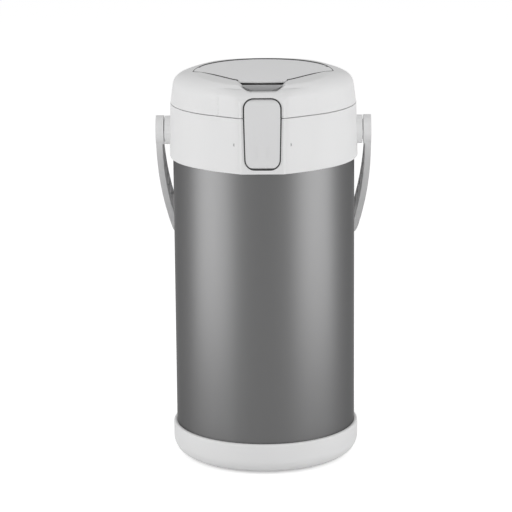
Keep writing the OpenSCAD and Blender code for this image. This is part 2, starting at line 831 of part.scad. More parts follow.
module spout_panel() {
    half = trough_half_w;
    back_y = panel_y + panel_t;
    color(panel_white) difference() {
        union() {
            intersection() {
                along_y(panel_y, back_y) panel_outline(0);
                // lower edge eased so that it swings clear, upper edge leaning back with the nose
                along_x(-big / 4, big / 4) polygon([
                    [panel_y, panel_z0 + panel_ease], [panel_y + panel_ease, panel_z0],
                    [back_y, panel_z0], [back_y, panel_z1], [panel_y + 1.5, panel_z1],
                    [panel_y + 0.5, panel_z1 - 2.2], [panel_y, panel_z1 - 5]
                ]);
            }
            for (side = [-1, 1]) translate([side * (half - trough_wall / 2), 0, 0])
                along_x(-trough_wall / 2, trough_wall / 2) polygon(rounded([
                    [back_y - eps, panel_z0 + 8], [back_y + 2.2, panel_z0 + 9],
                    [back_y + 3, spout_z - 4], [back_y + trough_depth, spout_z + 4],
                    [back_y + trough_depth, panel_z1 - 12], [back_y + 1.4, panel_z1 - 4],
                    [back_y - eps, panel_z1 - 3.4]
                ], [0, 1, 2, 2, 6, 0, 0]));
            for (side = [-1, 1]) translate([side * (half - 1.6), 0, 0])
                rod_x(spout_pin_r + 1.4, -1.6, 1.6, spout_y, spout_z);
            // two press ribs
            for (x = [-5.4, 4.6]) along_y(panel_y - 0.25, panel_y + eps)
                translate([x, spout_z - 6.2]) square([1, 9], center = true);
        }
        rod_x(spout_pin_r + pin_gap, -big / 4, big / 4, spout_y, spout_z);
    }
}

module spout_pin() {
    color("silver") rod_x(spout_pin_r, -plug_x + 1.8, plug_x - 1.8, spout_y, spout_z);
}

// Torsion spring wound on the pin
module spout_spring() {
    wire_r = 0.35;
    turns = 7;
    color("silver") translate([3.4, spout_y, spout_z]) rotate([0, 90, 0])
        coil(spout_pin_r + 0.1 + wire_r, wire_r, turns, turns * 2.3 * wire_r, 12);
}

module pin_plugs() {
    face_y = ring_y(plug_x);
    color([0.5, 0.5, 0.5]) both_sides() translate([plug_x, 0, spout_z])
        intersection() {
            plug_shape(0, -(ring_r0 + 4), -(ring_r0 - 4.2));
            block([-5, face_y + 0.15, -5], [5, 0, 5]);
        }
}

// ---------------------------------------------------------------- carry bail

// Outer edge of the bail in its own plane, from the pivot (0) down to the crossbar
bail_end_s = bail_reach + bail_t;
bail_out_r = bail_arc_r;
function bail_bend(a) = [bail_out_x - bail_out_r * (1 - cos(a)), bail_straight + bail_out_r * sin(a)];
bail_corner_s = bail_end_s - bail_corner_r;
// angle at which the side arc hands over to the corner arc
bail_turn = asin((bail_corner_s - bail_straight) / (bail_out_r - bail_corner_r));

function bail_half(inset) =
    let (c1 = [bail_out_x - bail_out_r, bail_straight], c2 = bail_bend(bail_turn)
             - bail_corner_r * [cos(bail_turn), sin(bail_turn)])
    concat(
        [[bail_out_x - inset, 0]],
        arc(c1, bail_out_r - inset, 0, bail_turn, 7),
        arc(c2, bail_corner_r - inset, bail_turn + 8, 90, 9)
    );

module bail_profile(inset0, inset1) {
    outer = bail_half(inset0);
    inner = bail_half(inset1);
    half = concat(outer, [for (i = [len(inner) - 1:-1:0]) inner[i]]);
    both_sides() polygon(half);
    low = outer[len(outer) - 1];
    top = inner[len(inner) - 1];
    translate([-top.x - eps, top.y]) square([2 * top.x + 2 * eps, low.y - top.y]);
}

module bail_strip(inset0, inset1, w) {
    translate([0, w / 2, 0]) rotate([90, 0, 0]) mirror([0, 1, 0])
        linear_extrude(w) bail_profile(inset0, inset1);
}

module bail_handle() {
    skin = bail_t - channel_d;
    color(shell_white) translate([0, 0, pivot_z]) rotate([bail_lean, 0, 0]) difference() {
        union() {
            difference() {
                bail_strip(0, bail_t, bail_w);
                // hollow inner face, with flanges along both edges
                bail_strip(skin, bail_t + 2, bail_w - 2 * rib_t);
            }
            both_sides() rod_x(pivot_r + 0.3, arm_in_x, bail_out_x, 0, 0);
            // cross ribs in the hollow
            intersection() {
                bail_strip(skin - eps, bail_t - 0.4, bail_w - rib_t);
                union() {
                    both_sides() for (s = [22:12:94])
                        block([bail_out_x / 2, -bail_w, -s - rib_t / 2],
                              [bail_out_x, bail_w, -s + rib_t / 2]);
                    for (x = [-48:12:48])
                        block([x - rib_t / 2, -bail_w, -bail_end_s],
                              [x + rib_t / 2, bail_w, -bail_reach]);
                }
            }
        }
        both_sides() {
            rod_x(bail_pin_r + pin_gap, arm_in_x - 1, bail_out_x + 1, 0, 0);
            rod_x(bail_head_r + slip, bail_out_x - bail_head_t - 0.4, bail_out_x + 1, 0, 0);
        }
    }
}

module bail_pins() {
    color("silver") both_sides() {
        rod_x(bail_pin_r, ring_in_r - 7, bail_out_x - bail_head_t, 0, pivot_z);
        rod_x(bail_head_r, bail_out_x - bail_head_t, bail_out_x, 0, pivot_z);
    }
}

module bail_washers() {
    color("silver") both_sides() difference() {
        rod_x(bail_pin_r + washer_w, lug_x, lug_x + washer_t, 0, pivot_z);
        rod_x(bail_pin_r + pin_gap, lug_x - 1, lug_x + 1, 0, pivot_z);
    }
}

module hinge_pin() {
    reach = knuckle_w / 2 + ear_gap + ear_w;
    color("silver") rod_x(hinge_pin_r, -reach, reach, hinge_y, hinge_z);
}

// ---------------------------------------------------------------- lid

function dome_profile(inset, top) =
    let (r = lid_r - inset, c = [lid_arc_r, lid_arc_z], a0 = 4)
    concat(
        [[0, lid_z0 - 5], [r, lid_z0 - 5], [r, lid_z0]],
        arc(c, lid_round - inset, a0, 90, 16),
        [[0, top - inset]]
    );

module dome_solid(inset) {
    intersection() {
        rotate_extrude() polygon(dome_profile(inset, lid_top_z + 2));
        crown(inset);
        block([-big, -big, inset > 0 ? lid_z0 - 4 : lid_z0], [big, big, big]);
    }
}

// Nose: the front pad carried up the receding dome
module nose() {
    y0 = panel_y + 0.1;
    flank = [[pad_foot_x + 6.4, y0 + 14.4], [pad_foot_x, -50]];
    intersection() {
        rotate_extrude() polygon(concat(
            [[0, lid_z0], [brow_r, lid_z0]],
            arc([brow_r - brow_round, brow_arc_z], brow_round, 0, 90, 16),
            [[0, brow_arc_z + brow_round]]
        ));
        translate([0, y0 - pad_y, 0]) linear_extrude(big) polygon(pad_plan(flank, [0, 0]));
    }
}

module screw_places() {
    around(4, 45) translate([screw_ring_r, 0, 0]) children();
}

module lid_dome() {
    pocket_half = panel_w / 2 + panel_gap;
    pocket_y = panel_y + panel_t + trough_depth + 0.8;
    color(shell_white) difference() {
        union() {
            difference() {
                dome_solid(0);
                dome_solid(lid_wall);
                difference() {
                    linear_extrude(big) plate_outline(plate_gap);
                    disc(big, -1, well_z0);
                }
            }
            // well that guides the press plate
            intersection() {
                difference() {
                    translate([0, 0, well_z0]) linear_extrude(lid_h)
                        plate_outline(plate_gap + well_wall);
                    linear_extrude(big) plate_outline(plate_gap);
                }
                dome_solid(0.4);
            }
            // screw bosses
            intersection() {
                screw_places() disc(screw_boss_r, lid_z0, lid_top_z);
                dome_solid(0.4);
            }
            // nose and the pocket over the spout panel
            difference() {
                nose();
                intersection() {
                    dome_solid(lid_wall);
                    block([-big, pocket_y + 1.2, 0], [big, big, big]);
                }
                intersection() {
                    dome_solid(lid_wall);
                    both_sides() block([pocket_half + 2.6, -big, 0], [big, big, big]);
                }
            }
            // knuckle of the hinge
            rod_x(knuckle_r, -knuckle_w / 2, knuckle_w / 2, hinge_y, hinge_z);
            along_x(-knuckle_w / 2, knuckle_w / 2) polygon([
                [lid_r - 1.4, lid_z0 + 0.2], [hinge_y - 3, lid_z0 + 0.2], [hinge_y, hinge_z],
                [hinge_y + knuckle_r, hinge_z], [hinge_y + knuckle_r - 0.6, hinge_z + 3],
                [hinge_y + 0.6, hinge_z + 6.6], [lid_r - 1.4, hinge_z + 11]
            ]);
        }
        // pocket for the upper half of the spout panel
        along_y(-big, pocket_y) intersection() {
            panel_outline(panel_gap);
            translate([-big, lid_z0 - 6]) square([2 * big, big]);
        }
        // finger scoop, open through to the press plate's nose
        along_y(scoop_lip_y, 8 - plate_nose) scoop_outline(0);
        // slot through which the latch tab stands
        block([-tab_slot_x, tab_y - 2.4, parting_z + 2],
              [tab_slot_x, tab_y + tab_t + tab_travel + 2, parting_z + scoop_z + 2]);
        block([-tab_leg_x - tab_leg_w - 0.6, tab_y - 0.6, parting_z + 2],
              [tab_leg_x + tab_leg_w + 0.6, tab_y + tab_t + tab_travel + 0.3, tab_arm_z + 4.6]);
        screw_places() disc(lid_screw_r - 0.05, floor_top_z - 1, parting_z + lid_screw_h + 1);
        rod_x(hinge_pin_r + pin_gap, -big / 4, big / 4, hinge_y, hinge_z);
    }
}

module lid_base() {
    color(shell_white) difference() {
        union() {
            tube(lid_base_r, floor_r - 2.2, lid_z0 - 0.1, lid_z0 + 3.6);
            tube(floor_r, floor_r - 2.2, floor_top_z - floor_t, lid_z0 + 3.6);
            disc(floor_r - 1, floor_top_z - floor_t, floor_top_z);
            tube(spring_d / 2 - spring_wire - 0.8, spring_d / 2 - spring_wire - 2.4, floor_top_z - eps,
                 floor_top_z + 4);
            // posts that stop the press plate at the end of its travel
            around(3, 60) translate([stop_ring_r, 0, 0])
                disc(stop_r, floor_top_z - eps, pusher_z0 - press_travel - 0.2);
            around(12, 15) block([bellows_r + 2.5, -0.7, floor_top_z - eps],
                                 [floor_r - 1, 0.7, floor_top_z + 2.6]);
        }
        translate([0, port_y, 0]) disc(port_r - 0.6, 0, big);
        screw_places() {
            disc(lid_screw_r + 0.2, 0, lid_z0 + 1);
            disc(screw_boss_r + slip, lid_z0, big);
        }
        // room for the spout panel, its pocket and the latch tab's legs
        block([-niche_half_w - 3.4, -big, 0], [niche_half_w + 3.4, tab_y + tab_t + tab_travel + 0.6, big]);
        both_sides() block([tab_leg_x - 0.6, -big, 0],
                           [tab_leg_x + tab_leg_w + 0.6, tab_y + tab_t + tab_travel + 0.6, big]);
    }
}

module lid_gasket() {
    y0 = tab_y + tab_t + tab_travel + 1;
    color(seal_clear) difference() {
        tube(ring_r1 - ring_wall - 0.5, floor_r, lid_z0 - 2.1, lid_z0 - 0.1);
        block([-big, -big, 0], [big, y0, big]);
    }
}

module lid_screws() {
    color("silver") screw_places()
        screw_up(lid_screw_r - 0.1, floor_top_z - floor_t - 1.6, parting_z + lid_screw_h,
                 lid_screw_r + 1.5, 1.6);
}

module air_valve_flap() {
    color(seal_clear) translate([0, port_y, 0]) {
        disc(port_r + 2.6, floor_top_z, floor_top_z + 0.8);
        disc(port_r - 0.8, floor_top_z - 1.6, floor_top_z + eps);
    }
}

// ---------------------------------------------------------------- pump

module bellows() {
    h = pusher_z0 - bellows_z0;
    pitch = h / bellows_folds;
    out = concat([[bellows_r, bellows_z0]], [for (i = [0:bellows_folds - 1]) each [
        [bellows_r - bellows_fold, bellows_z0 + pitch * (i + 0.5)],
        [bellows_r, bellows_z0 + pitch * (i + 1)]]]);
    inner = [for (i = [len(out) - 1:-1:0]) [out[i].x - bellows_wall * 1.6, out[i].y]];
    color(seal_clear) rotate_extrude() polygon(concat(out, inner));
}

module return_spring() {
    h = pusher_z0 - bellows_z0 - spring_wire - 0.4;
    color("silver") translate([0, 0, bellows_z0 + spring_wire / 2 + 0.2])
        coil((spring_d - spring_wire) / 2, spring_wire / 2, spring_turns, h, 16);
}

module push_plate() {
    color(panel_white) difference() {
        intersection() {
            union() {
                difference() {
                    linear_extrude(big) plate_outline(0);
                    linear_extrude(crown_z - plate_t - 3) plate_outline(-skirt_t);
                }
            }
            rod_x(crown_r, -big / 2, big / 2, 0, crown_z - crown_r);
            disc(big, crown_z - skirt_h - 1.4, big);
        }
        // underside follows the crown
        intersection() {
            linear_extrude(big) plate_outline(-skirt_t);
            rod_x(crown_r, -big / 2, big / 2, 0, crown_z - plate_t - crown_r);
        }
        // nose left thin and free of the skirt, over the latch tab
        along_x(-nose_open_x, nose_open_x) polygon([
            [-plate_nose - 5, 0], [-plate_nose - 5, nose_z + 0.5], [-plate_nose + 10, nose_z - 1],
            [-plate_nose + 10, 0]
        ]);
        // small notches at the back corners
        both_sides() translate([plate_r - 4.2, 19.6, 0]) cylinder(r = 2.2, h = big);
    }
    color(panel_white) difference() {
        intersection() {
            around(3, 30) translate([plate_screw_ring_r, 0, 0]) disc(3, pusher_z0 + pusher_t, big);
            rod_x(crown_r, -big / 2, big / 2, 0, crown_z - 1 - crown_r);
        }
        around(3, 30) translate([plate_screw_ring_r, 0, 0]) disc(plate_screw_r, 0, crown_z - 1.6);
    }
}

module bellows_plate() {
    color(shell_white) difference() {
        union() {
            disc(pusher_r, pusher_z0, pusher_z0 + pusher_t);
            tube(spring_d / 2 - spring_wire - 0.8, spring_d / 2 - spring_wire - 2.4, pusher_z0 - 2,
                 pusher_z0 + eps);
        }
        around(3, 30) translate([plate_screw_ring_r, 0, 0]) disc(plate_screw_r + 0.2, 0, big);
        around(3, 90) translate([plate_screw_ring_r - 10, 0, 0]) disc(2, 0, big);
    }
}

module plate_screws() {
    color("silver") around(3, 30) translate([plate_screw_ring_r, 0, 0])
        screw_up(plate_screw_r - 2 * eps, pusher_z0 - plate_screw_h, crown_z - 3.4, plate_screw_r + 1.3,
                 plate_screw_h);
}

// ---------------------------------------------------------------- latch tab

module latch_tab() {
    top = tab_top_z;
    arm_h = 4;
    color(tab_grey) {
        // face that shows in the scoop
        intersection() {
            along_y(tab_y, tab_y + tab_t) scoop_outline(tab_gap);
            block([-big, -big, 0], [big, big, top]);
        }
        // stem with two stiffening ribs, and cross arm
        block([-tab_stem_x, tab_y, tab_arm_z], [tab_stem_x, tab_y + tab_t, parting_z + scoop_z + 2]);
        both_sides() block([tab_stem_x - 3, tab_y - 1.6, tab_arm_z + 0.6],
                           [tab_stem_x - 1.4, tab_y + eps, parting_z + scoop_z - 0.6]);
        block([-tab_leg_x - tab_leg_w, tab_y, tab_arm_z],
              [tab_leg_x + tab_leg_w, tab_y + tab_t, tab_arm_z + arm_h]);
        both_sides() {
            block([tab_leg_x, tab_y, tab_hook_z - tab_hook_h],
                  [tab_leg_x + tab_leg_w, tab_y + tab_t, tab_arm_z]);
            block([tab_leg_x, tab_y - 2, tab_hook_z - tab_hook_h],
                  [tab_leg_x + tab_leg_w, tab_y + eps, tab_hook_z]);
        }
    }
}

// Flat spring behind the cross arm
module tab_spring() {
    z0 = tab_arm_z + 0.6;
    y0 = tab_y + tab_t + 0.1;
    end_y = y0 + tab_spring_bow;
    color("silver") translate([0, 0, z0]) linear_extrude(tab_spring_h)
        polygon([
            [-tab_spring_x, end_y], [-tab_spring_x, end_y + tab_spring_t], [0, y0 + tab_spring_t],
            [tab_spring_x, end_y + tab_spring_t], [tab_spring_x, end_y], [0, y0]
        ]);
}

// ---------------------------------------------------------------- assembly

base_cup();
foot_ring();
base_screws();
outer_case();
liner_support();
liner_cushion();
liner_jacket();
liner_flask();
vacuum_cap();
shoulder_ring();
neck_gasket();
mouth_collar();
collar_screws();
stopper_body();
stopper_gasket();
dip_tube();
tip_valve_ball();
elbow_pipe();
outlet_nozzle();
port_seal();
spout_panel();
spout_pin();
spout_spring();
pin_plugs();
bail_handle();
bail_pins();
bail_washers();
hinge_pin();
lid_dome();
lid_base();
lid_gasket();
lid_screws();
air_valve_flap();
bellows();
return_spring();
push_plate();
bellows_plate();
plate_screws();
latch_tab();
tab_spring();
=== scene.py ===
"""Looks of a three-litre pump pot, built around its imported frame.

Lengths are in millimetres in the classes and become metres when a mesh is made. The front is -Y,
up is +Z and the pot's axis is the Z axis.
"""

from __future__ import annotations

import json
import logging
import math
from dataclasses import dataclass, field
from enum import Enum

import bmesh
import bpy
import numpy as np
from mathutils import Matrix, Vector


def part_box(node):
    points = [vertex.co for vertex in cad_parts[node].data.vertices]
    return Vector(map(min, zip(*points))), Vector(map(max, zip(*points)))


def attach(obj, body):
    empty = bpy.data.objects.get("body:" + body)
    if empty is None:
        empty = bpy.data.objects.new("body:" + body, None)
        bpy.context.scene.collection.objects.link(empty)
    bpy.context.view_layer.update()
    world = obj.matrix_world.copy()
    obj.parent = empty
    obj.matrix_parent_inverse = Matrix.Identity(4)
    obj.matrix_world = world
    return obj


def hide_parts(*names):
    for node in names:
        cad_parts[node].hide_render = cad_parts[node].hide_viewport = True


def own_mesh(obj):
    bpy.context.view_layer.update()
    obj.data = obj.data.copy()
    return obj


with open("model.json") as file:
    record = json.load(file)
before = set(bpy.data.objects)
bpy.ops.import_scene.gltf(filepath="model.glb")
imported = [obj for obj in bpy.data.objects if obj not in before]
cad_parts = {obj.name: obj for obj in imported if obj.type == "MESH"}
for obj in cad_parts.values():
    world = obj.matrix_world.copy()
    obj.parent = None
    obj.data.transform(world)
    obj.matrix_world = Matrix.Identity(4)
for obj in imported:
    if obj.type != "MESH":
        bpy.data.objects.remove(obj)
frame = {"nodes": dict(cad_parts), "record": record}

MM = 0.001  # metres in a millimetre
SHARP = 32.0  # degrees of turn from which an edge counts as sharp
POINT_MERGE = 1e-7  # metres within which a new piece's points are one
NODE_MERGE = 2e-6  # metres within which a copied node's points are one
LOG = logging.getLogger("pump_pot")

Colour = tuple[float, float, float]


class Body(Enum):
    """The rigid bodies of the frame."""

    POT = "pot"
    LID = "lid"
    PRESS = "press"
    TAB = "tab"
    SPOUT = "spout"
    BAIL = "bail"


class Slot(Enum):
    """The record's material slots."""

    CASE = "case_paint"
    SHELL = "shell_plastic"
    PANEL = "panel_plastic"
    PLATE = "plate_plastic"
    TAB = "tab_plastic"
    CAP = "cap_plastic"
    INNER = "inner_plastic"
    SEAL = "seal_silicone"
    BELLOWS = "bellows_rubber"
    FOOT_AND_GAP_SHADE = "foot_rubber"
    LINER = "liner_steel"
    SCREW = "screw_steel"


# ---------------------------------------------------------------------------- shader arithmetic


class Wire:
    """A shader socket that takes part in arithmetic, each operation adding a Math node."""

    def __init__(self, tree: "Tree", socket: bpy.types.NodeSocket) -> None:
        """Wraps a socket.

        Args:
            tree: the node tree that the socket is in.
            socket: an output socket.
        """
        self.tree = tree
        self.socket = socket

    def _math(self, operation: str, first: "Wire | float", second: "Wire | float") -> "Wire":
        """Adds one Math node and returns its result."""
        return self.tree.node("ShaderNodeMath", {"operation": operation}, {0: first, 1: second})

    def __add__(self, other: "Wire | float") -> "Wire":
        """self + other."""
        return self._math("ADD", self, other)

    def __radd__(self, other: float) -> "Wire":
        """other + self."""
        return self._math("ADD", other, self)

    def __sub__(self, other: "Wire | float") -> "Wire":
        """self - other."""
        return self._math("SUBTRACT", self, other)

    def __rsub__(self, other: float) -> "Wire":
        """other - self."""
        return self._math("SUBTRACT", other, self)

    def __mul__(self, other: "Wire | float") -> "Wire":
        """self * other."""
        return self._math("MULTIPLY", self, other)

    def __rmul__(self, other: float) -> "Wire":
        """other * self."""
        return self._math("MULTIPLY", other, self)

    def most(self, other: "Wire | float") -> "Wire":
        """The greater of self and other."""
        return self._math("MAXIMUM", self, other)


class Tree:
    """The node tree of a material or a world."""

    def __init__(self, owner: bpy.types.ID) -> None:
        """Starts an empty tree.

        Args:
            owner: the material or world that the tree belongs to.
        """
        owner.use_nodes = True
        self.tree = owner.node_tree
        self.tree.nodes.clear()

    def node(self, kind: str, settings: dict | None = None, inputs: dict | None = None,
             out: int | str = 0) -> Wire:
        """Adds any node.

        Args:
            kind: the node's type name.
            settings: attributes set first, such as an operation.
            inputs: values or wires, by socket name or number.
            out: the output wanted.

        Returns:
            The wanted output as a wire.
        """
        made = self.tree.nodes.new(kind)
        for key, value in (settings or {}).items():
            setattr(made, key, value)
        for key, value in (inputs or {}).items():
            if isinstance(value, Wire):
                self.tree.links.new(value.socket, made.inputs[key])
            else:
                made.inputs[key].default_value = value
        return Wire(self, made.outputs[out])

    def where(self) -> Wire:
        """Object coordinates, in metres."""
        return self.node("ShaderNodeTexCoord", out="Object")

    def noise(self, at: Wire, size_mm: float, detail: float = 2.0) -> Wire:
        """Soft noise from 0 to 1 whose blobs are about size_mm across."""
        inputs = {"Vector": at, "Scale": 1 / (size_mm * MM), "Detail": detail}
        return self.node("ShaderNodeTexNoise", {}, inputs, out="Fac")

    def stretched(self, at: Wire, x: float, y: float, z: float) -> Wire:
        """Coordinates scaled along each axis, which draws a pattern out."""
        return self.node("ShaderNodeMapping", {}, {"Vector": at, "Scale": (x, y, z)}, out="Vector")

    def blend(self, factor: Wire, low: Colour, high: Colour) -> Wire:
        """A colour between low and high, by factor."""
        inputs = {0: factor, 6: (*low, 1.0), 7: (*high, 1.0)}
        return self.node("ShaderNodeMix", {"data_type": "RGBA"}, inputs, out=2)

    def bump(self, height: Wire, depth_mm: float) -> Wire:
        """A surface normal from a height field that is depth_mm deep."""
        inputs = {"Height": height, "Distance": depth_mm * MM, "Strength": 1.0}
        return self.node("ShaderNodeBump", {}, inputs, out="Normal")

    def principled(self, inputs: dict) -> None:
        """Ends the tree in a Principled shader."""
        self.surface(self.node("ShaderNodeBsdfPrincipled", {}, inputs))

    def surface(self, shader: Wire, kind: str = "Material") -> None:
        """Links a shader to the output, whose kind is Material or World."""
        output = self.tree.nodes.new("ShaderNodeOutput" + kind)
        self.tree.links.new(shader.socket, output.inputs["Surface"])


def shade(colour: Colour, by: float) -> Colour:
    """A colour with each channel times by."""
    return tuple(channel * by for channel in colour)


# ---------------------------------------------------------------------------- finishes


@dataclass(frozen=True)
class Moulded:
    """Injection-moulded plastic with a fine spark-eroded grain and faint flow marks.

    Attributes:
        colour: linear red, green and blue.
        roughness: the middle roughness.
        grain_mm: size of the grain.
        grain_depth_mm: its depth.
        grain_gloss: how much it varies the roughness.
        flow_mm: size of the flow marks.
        flow_gloss: how much they vary the roughness.
        mottle: how much they vary the colour.
        specular: strength of the reflection, 0.5 for common plastic.
    """

    colour: Colour
    roughness: float = 0.45
    grain_mm: float = 0.35
    grain_depth_mm: float = 0.004
    grain_gloss: float = 0.06
    flow_mm: float = 30.0
    flow_gloss: float = 0.05
    mottle: float = 0.012
    specular: float = 0.5

    def draw(self, tree: Tree) -> None:
        """Draws the nodes: colour and roughness drift with slow noise, and fine noise is the grain.

        Args:
            tree: the material's empty tree.
        """
        at = tree.where()
        flow = tree.noise(at, self.flow_mm)
        grain = tree.noise(at, self.grain_mm, 1.0)
        dull, pale = shade(self.colour, 1 - self.mottle), shade(self.colour, 1 + self.mottle)
        tree.principled({
            "Base Color": tree.blend(flow, dull, pale),
            "Roughness": self.roughness + (flow - 0.5) * self.flow_gloss + (grain - 0.5) * self.grain_gloss,
            "Normal": tree.bump(grain, self.grain_depth_mm),
            "Specular IOR Level": self.specular,
        })


@dataclass(frozen=True)
class MetallicPaint:
    """Satin grey paint over steel, with metal flake and a faint lengthwise lay of the sprayed coat.

    Attributes:
        colour: linear red, green and blue.
        roughness: the middle roughness.
        metallic: how metallic it is, from 0 to 1.
        edge_tint: brightness of the reflection at grazing angles.
        flake_mm: size of the flake.
        flake_depth_mm: depth of the flake's relief.
        flake_gloss: how much the flake varies the roughness.
        lay: scale of the streaks along the sleeve, less than 1 to draw them out.
        lay_mm: width of the streaks.
        lay_gloss: how much the streaks vary the roughness.
        sparkle: how much flake and streaks vary the colour.
    """

    colour: Colour
    roughness: float = 0.40
    metallic: float = 1.0
    edge_tint: float = 0.5
    flake_mm: float = 0.22
    flake_depth_mm: float = 0.0016
    flake_gloss: float = 0.10
    lay: float = 0.06
    lay_mm: float = 9.0
    lay_gloss: float = 0.05
    sparkle: float = 0.045

    def draw(self, tree: Tree) -> None:
        """Draws the nodes: flake lifts colour and tilts the normal, and slow streaks drift the gloss.

        Args:
            tree: the material's empty tree.
        """
        at = tree.where()
        flake = tree.noise(at, self.flake_mm, 0.0)
        streak = tree.noise(tree.stretched(at, 1.0, 1.0, self.lay), self.lay_mm)
        dull, bright = shade(self.colour, 1 - self.sparkle), shade(self.colour, 1 + self.sparkle)
        tree.principled({
            "Base Color": tree.blend(flake * 0.6 + streak * 0.4, dull, bright),
            "Metallic": self.metallic,
            "Specular Tint": (self.edge_tint, self.edge_tint, self.edge_tint, 1.0),
            "Roughness": self.roughness + (streak - 0.5) * self.lay_gloss + (flake - 0.5) * self.flake_gloss,
            "Normal": tree.bump(flake, self.flake_depth_mm),
        })


@dataclass(frozen=True)
class BrushedSteel:
    """Bare stainless steel with turning or brushing marks round the Z axis.

    Attributes:
        colour: linear red, green and blue.
        roughness: the middle roughness.
        mark_mm: height of the marks.
        mark_depth_mm: their depth.
        mark_gloss: how much they vary the roughness.
        drawn_out: their scale round the axis, less than 1 to draw them out.
        cloud_mm: size of slow clouds in the gloss.
        cloud_gloss: how much the clouds vary the roughness.
    """

    colour: Colour
    roughness: float = 0.28
    mark_mm: float = 0.5
    mark_depth_mm: float = 0.004
    mark_gloss: float = 0.18
    drawn_out: float = 0.04
    cloud_mm: float = 25.0
    cloud_gloss: float = 0.06

    def draw(self, tree: Tree) -> None:
        """Draws the nodes: noise squeezed along Z makes fine level lines in gloss and height.

        Args:
            tree: the material's empty tree.
        """
        at = tree.where()
        marks = tree.noise(tree.stretched(at, self.drawn_out, self.drawn_out, 1.0), self.mark_mm, 3.0)
        cloud = tree.noise(at, self.cloud_mm)
        tree.principled({
            "Base Color": tree.blend(marks, shade(self.colour, 0.9), shade(self.colour, 1.06)),
            "Metallic": 1.0,
            "Roughness": self.roughness + (marks - 0.5) * self.mark_gloss + (cloud - 0.5) * self.cloud_gloss,
            "Normal": tree.bump(marks, self.mark_depth_mm),
        })


@dataclass(frozen=True)
class Elastomer:
    """Rubber or silicone: soft sheen, dusty mottling and a fine skin.

    Attributes:
        colour: linear red, green and blue.
        roughness: the middle roughness.
        sheen: strength of the dusty sheen.
        bloom_mm: size of the bloom's clouds.
        bloom_gloss: how much the bloom varies the roughness.
        mottle: how much the bloom varies the colour.
        skin_mm: size of the skin's texture.
        skin_depth_mm: its depth.
    """

    colour: Colour
    roughness: float = 0.6
    sheen: float = 0.15
    bloom_mm: float = 12.0
    bloom_gloss: float = 0.12
    mottle: float = 0.08
    skin_mm: float = 0.5
    skin_depth_mm: float = 0.01

    def draw(self, tree: Tree) -> None:
        """Draws the nodes: slow noise is bloom on the surface and fine noise its skin.

        Args:
            tree: the material's empty tree.
        """
        at = tree.where()
        bloom = tree.noise(at, self.bloom_mm, 3.0)
        skin = tree.noise(at, self.skin_mm, 1.0)
        dull, pale = shade(self.colour, 1 - self.mottle), shade(self.colour, 1 + self.mottle)
        tree.principled({
            "Base Color": tree.blend(bloom, dull, pale),
            "Roughness": self.roughness + (bloom - 0.5) * self.bloom_gloss,
            "Normal": tree.bump(skin, self.skin_depth_mm),
            "Sheen Weight": self.sheen,
        })


Finish = Moulded | MetallicPaint | BrushedSteel | Elastomer

FINISHES: dict[Slot, Finish] = {
    Slot.CASE: MetallicPaint((0.121, 0.121, 0.122), roughness=0.42),
    Slot.SHELL: Moulded((0.760, 0.760, 0.762), roughness=0.6, specular=0.2),
    Slot.PANEL: Moulded((0.695, 0.695, 0.700), roughness=0.32),
    Slot.PLATE: Moulded((0.795, 0.795, 0.800), roughness=0.5, specular=0.2),
    Slot.TAB: Moulded((0.370, 0.370, 0.374), roughness=0.45),
    Slot.CAP: Moulded((0.720, 0.720, 0.725)),
    Slot.INNER: Moulded((0.560, 0.560, 0.560), roughness=0.5, grain_depth_mm=0.008),
    Slot.SEAL: Elastomer((0.620, 0.600, 0.540), roughness=0.42),
    Slot.BELLOWS: Elastomer((0.520, 0.520, 0.500), roughness=0.48),
    # dresses the real foot ring and also the gap beads; its near-black colour is painted shade for those
    # beads
    Slot.FOOT_AND_GAP_SHADE: Elastomer((0.022, 0.022, 0.023), roughness=0.78, sheen=0.03),
    Slot.LINER: BrushedSteel((0.62, 0.62, 0.63)),
    Slot.SCREW: BrushedSteel((0.55, 0.55, 0.56), roughness=0.22, mark_mm=0.2),
}


class Workshop:
    """Makes each finish once, and dresses pieces with it."""

    def __init__(self) -> None:
        """Starts with no material made."""
        self.made: dict[Slot, bpy.types.Material] = {}

    def finish(self, slot: Slot) -> bpy.types.Material:
        """The material of a slot, made the first time it is wanted.

        Args:
            slot: the slot.

        Returns:
            Its material.
        """
        if slot not in self.made:
            self.made[slot] = bpy.data.materials.new(slot.value)
            FINISHES[slot].draw(Tree(self.made[slot]))
        return self.made[slot]

    def dress(self, piece: bpy.types.Object, slot: Slot) -> None:
        """Gives a piece one finish."""
        piece.data.materials.clear()
        piece.data.materials.append(self.finish(slot))

    def place(self, piece: bpy.types.Object, slot: Slot, body: Body, *replaced: str) -> None:
        """Dresses a new piece, lets it ride on a body and hides the CAD nodes it stands for.

        Args:
            piece: the new piece, in place.
            slot: the finish it takes.
            body: the body it moves with.
            replaced: names of CAD nodes.
        """
        self.dress(piece, slot)
        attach(piece, body.value)
        if replaced:
            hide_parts(*replaced)
        faces = len(piece.data.polygons)
        LOG.info("%s rides on %s in %s, %d faces", piece.name, body.value, slot.value, faces)


# ---------------------------------------------------------------------------- mesh making


def new_piece(name: str, mesh: bpy.types.Mesh) -> bpy.types.Object:
    """Links a new object that holds a mesh.

    Args:
        name: the object's name.
        mesh: its mesh, in place.

    Returns:
        The object, at the origin.
    """
    piece = bpy.data.objects.new(name, mesh)
    bpy.context.scene.collection.objects.link(piece)
    return piece


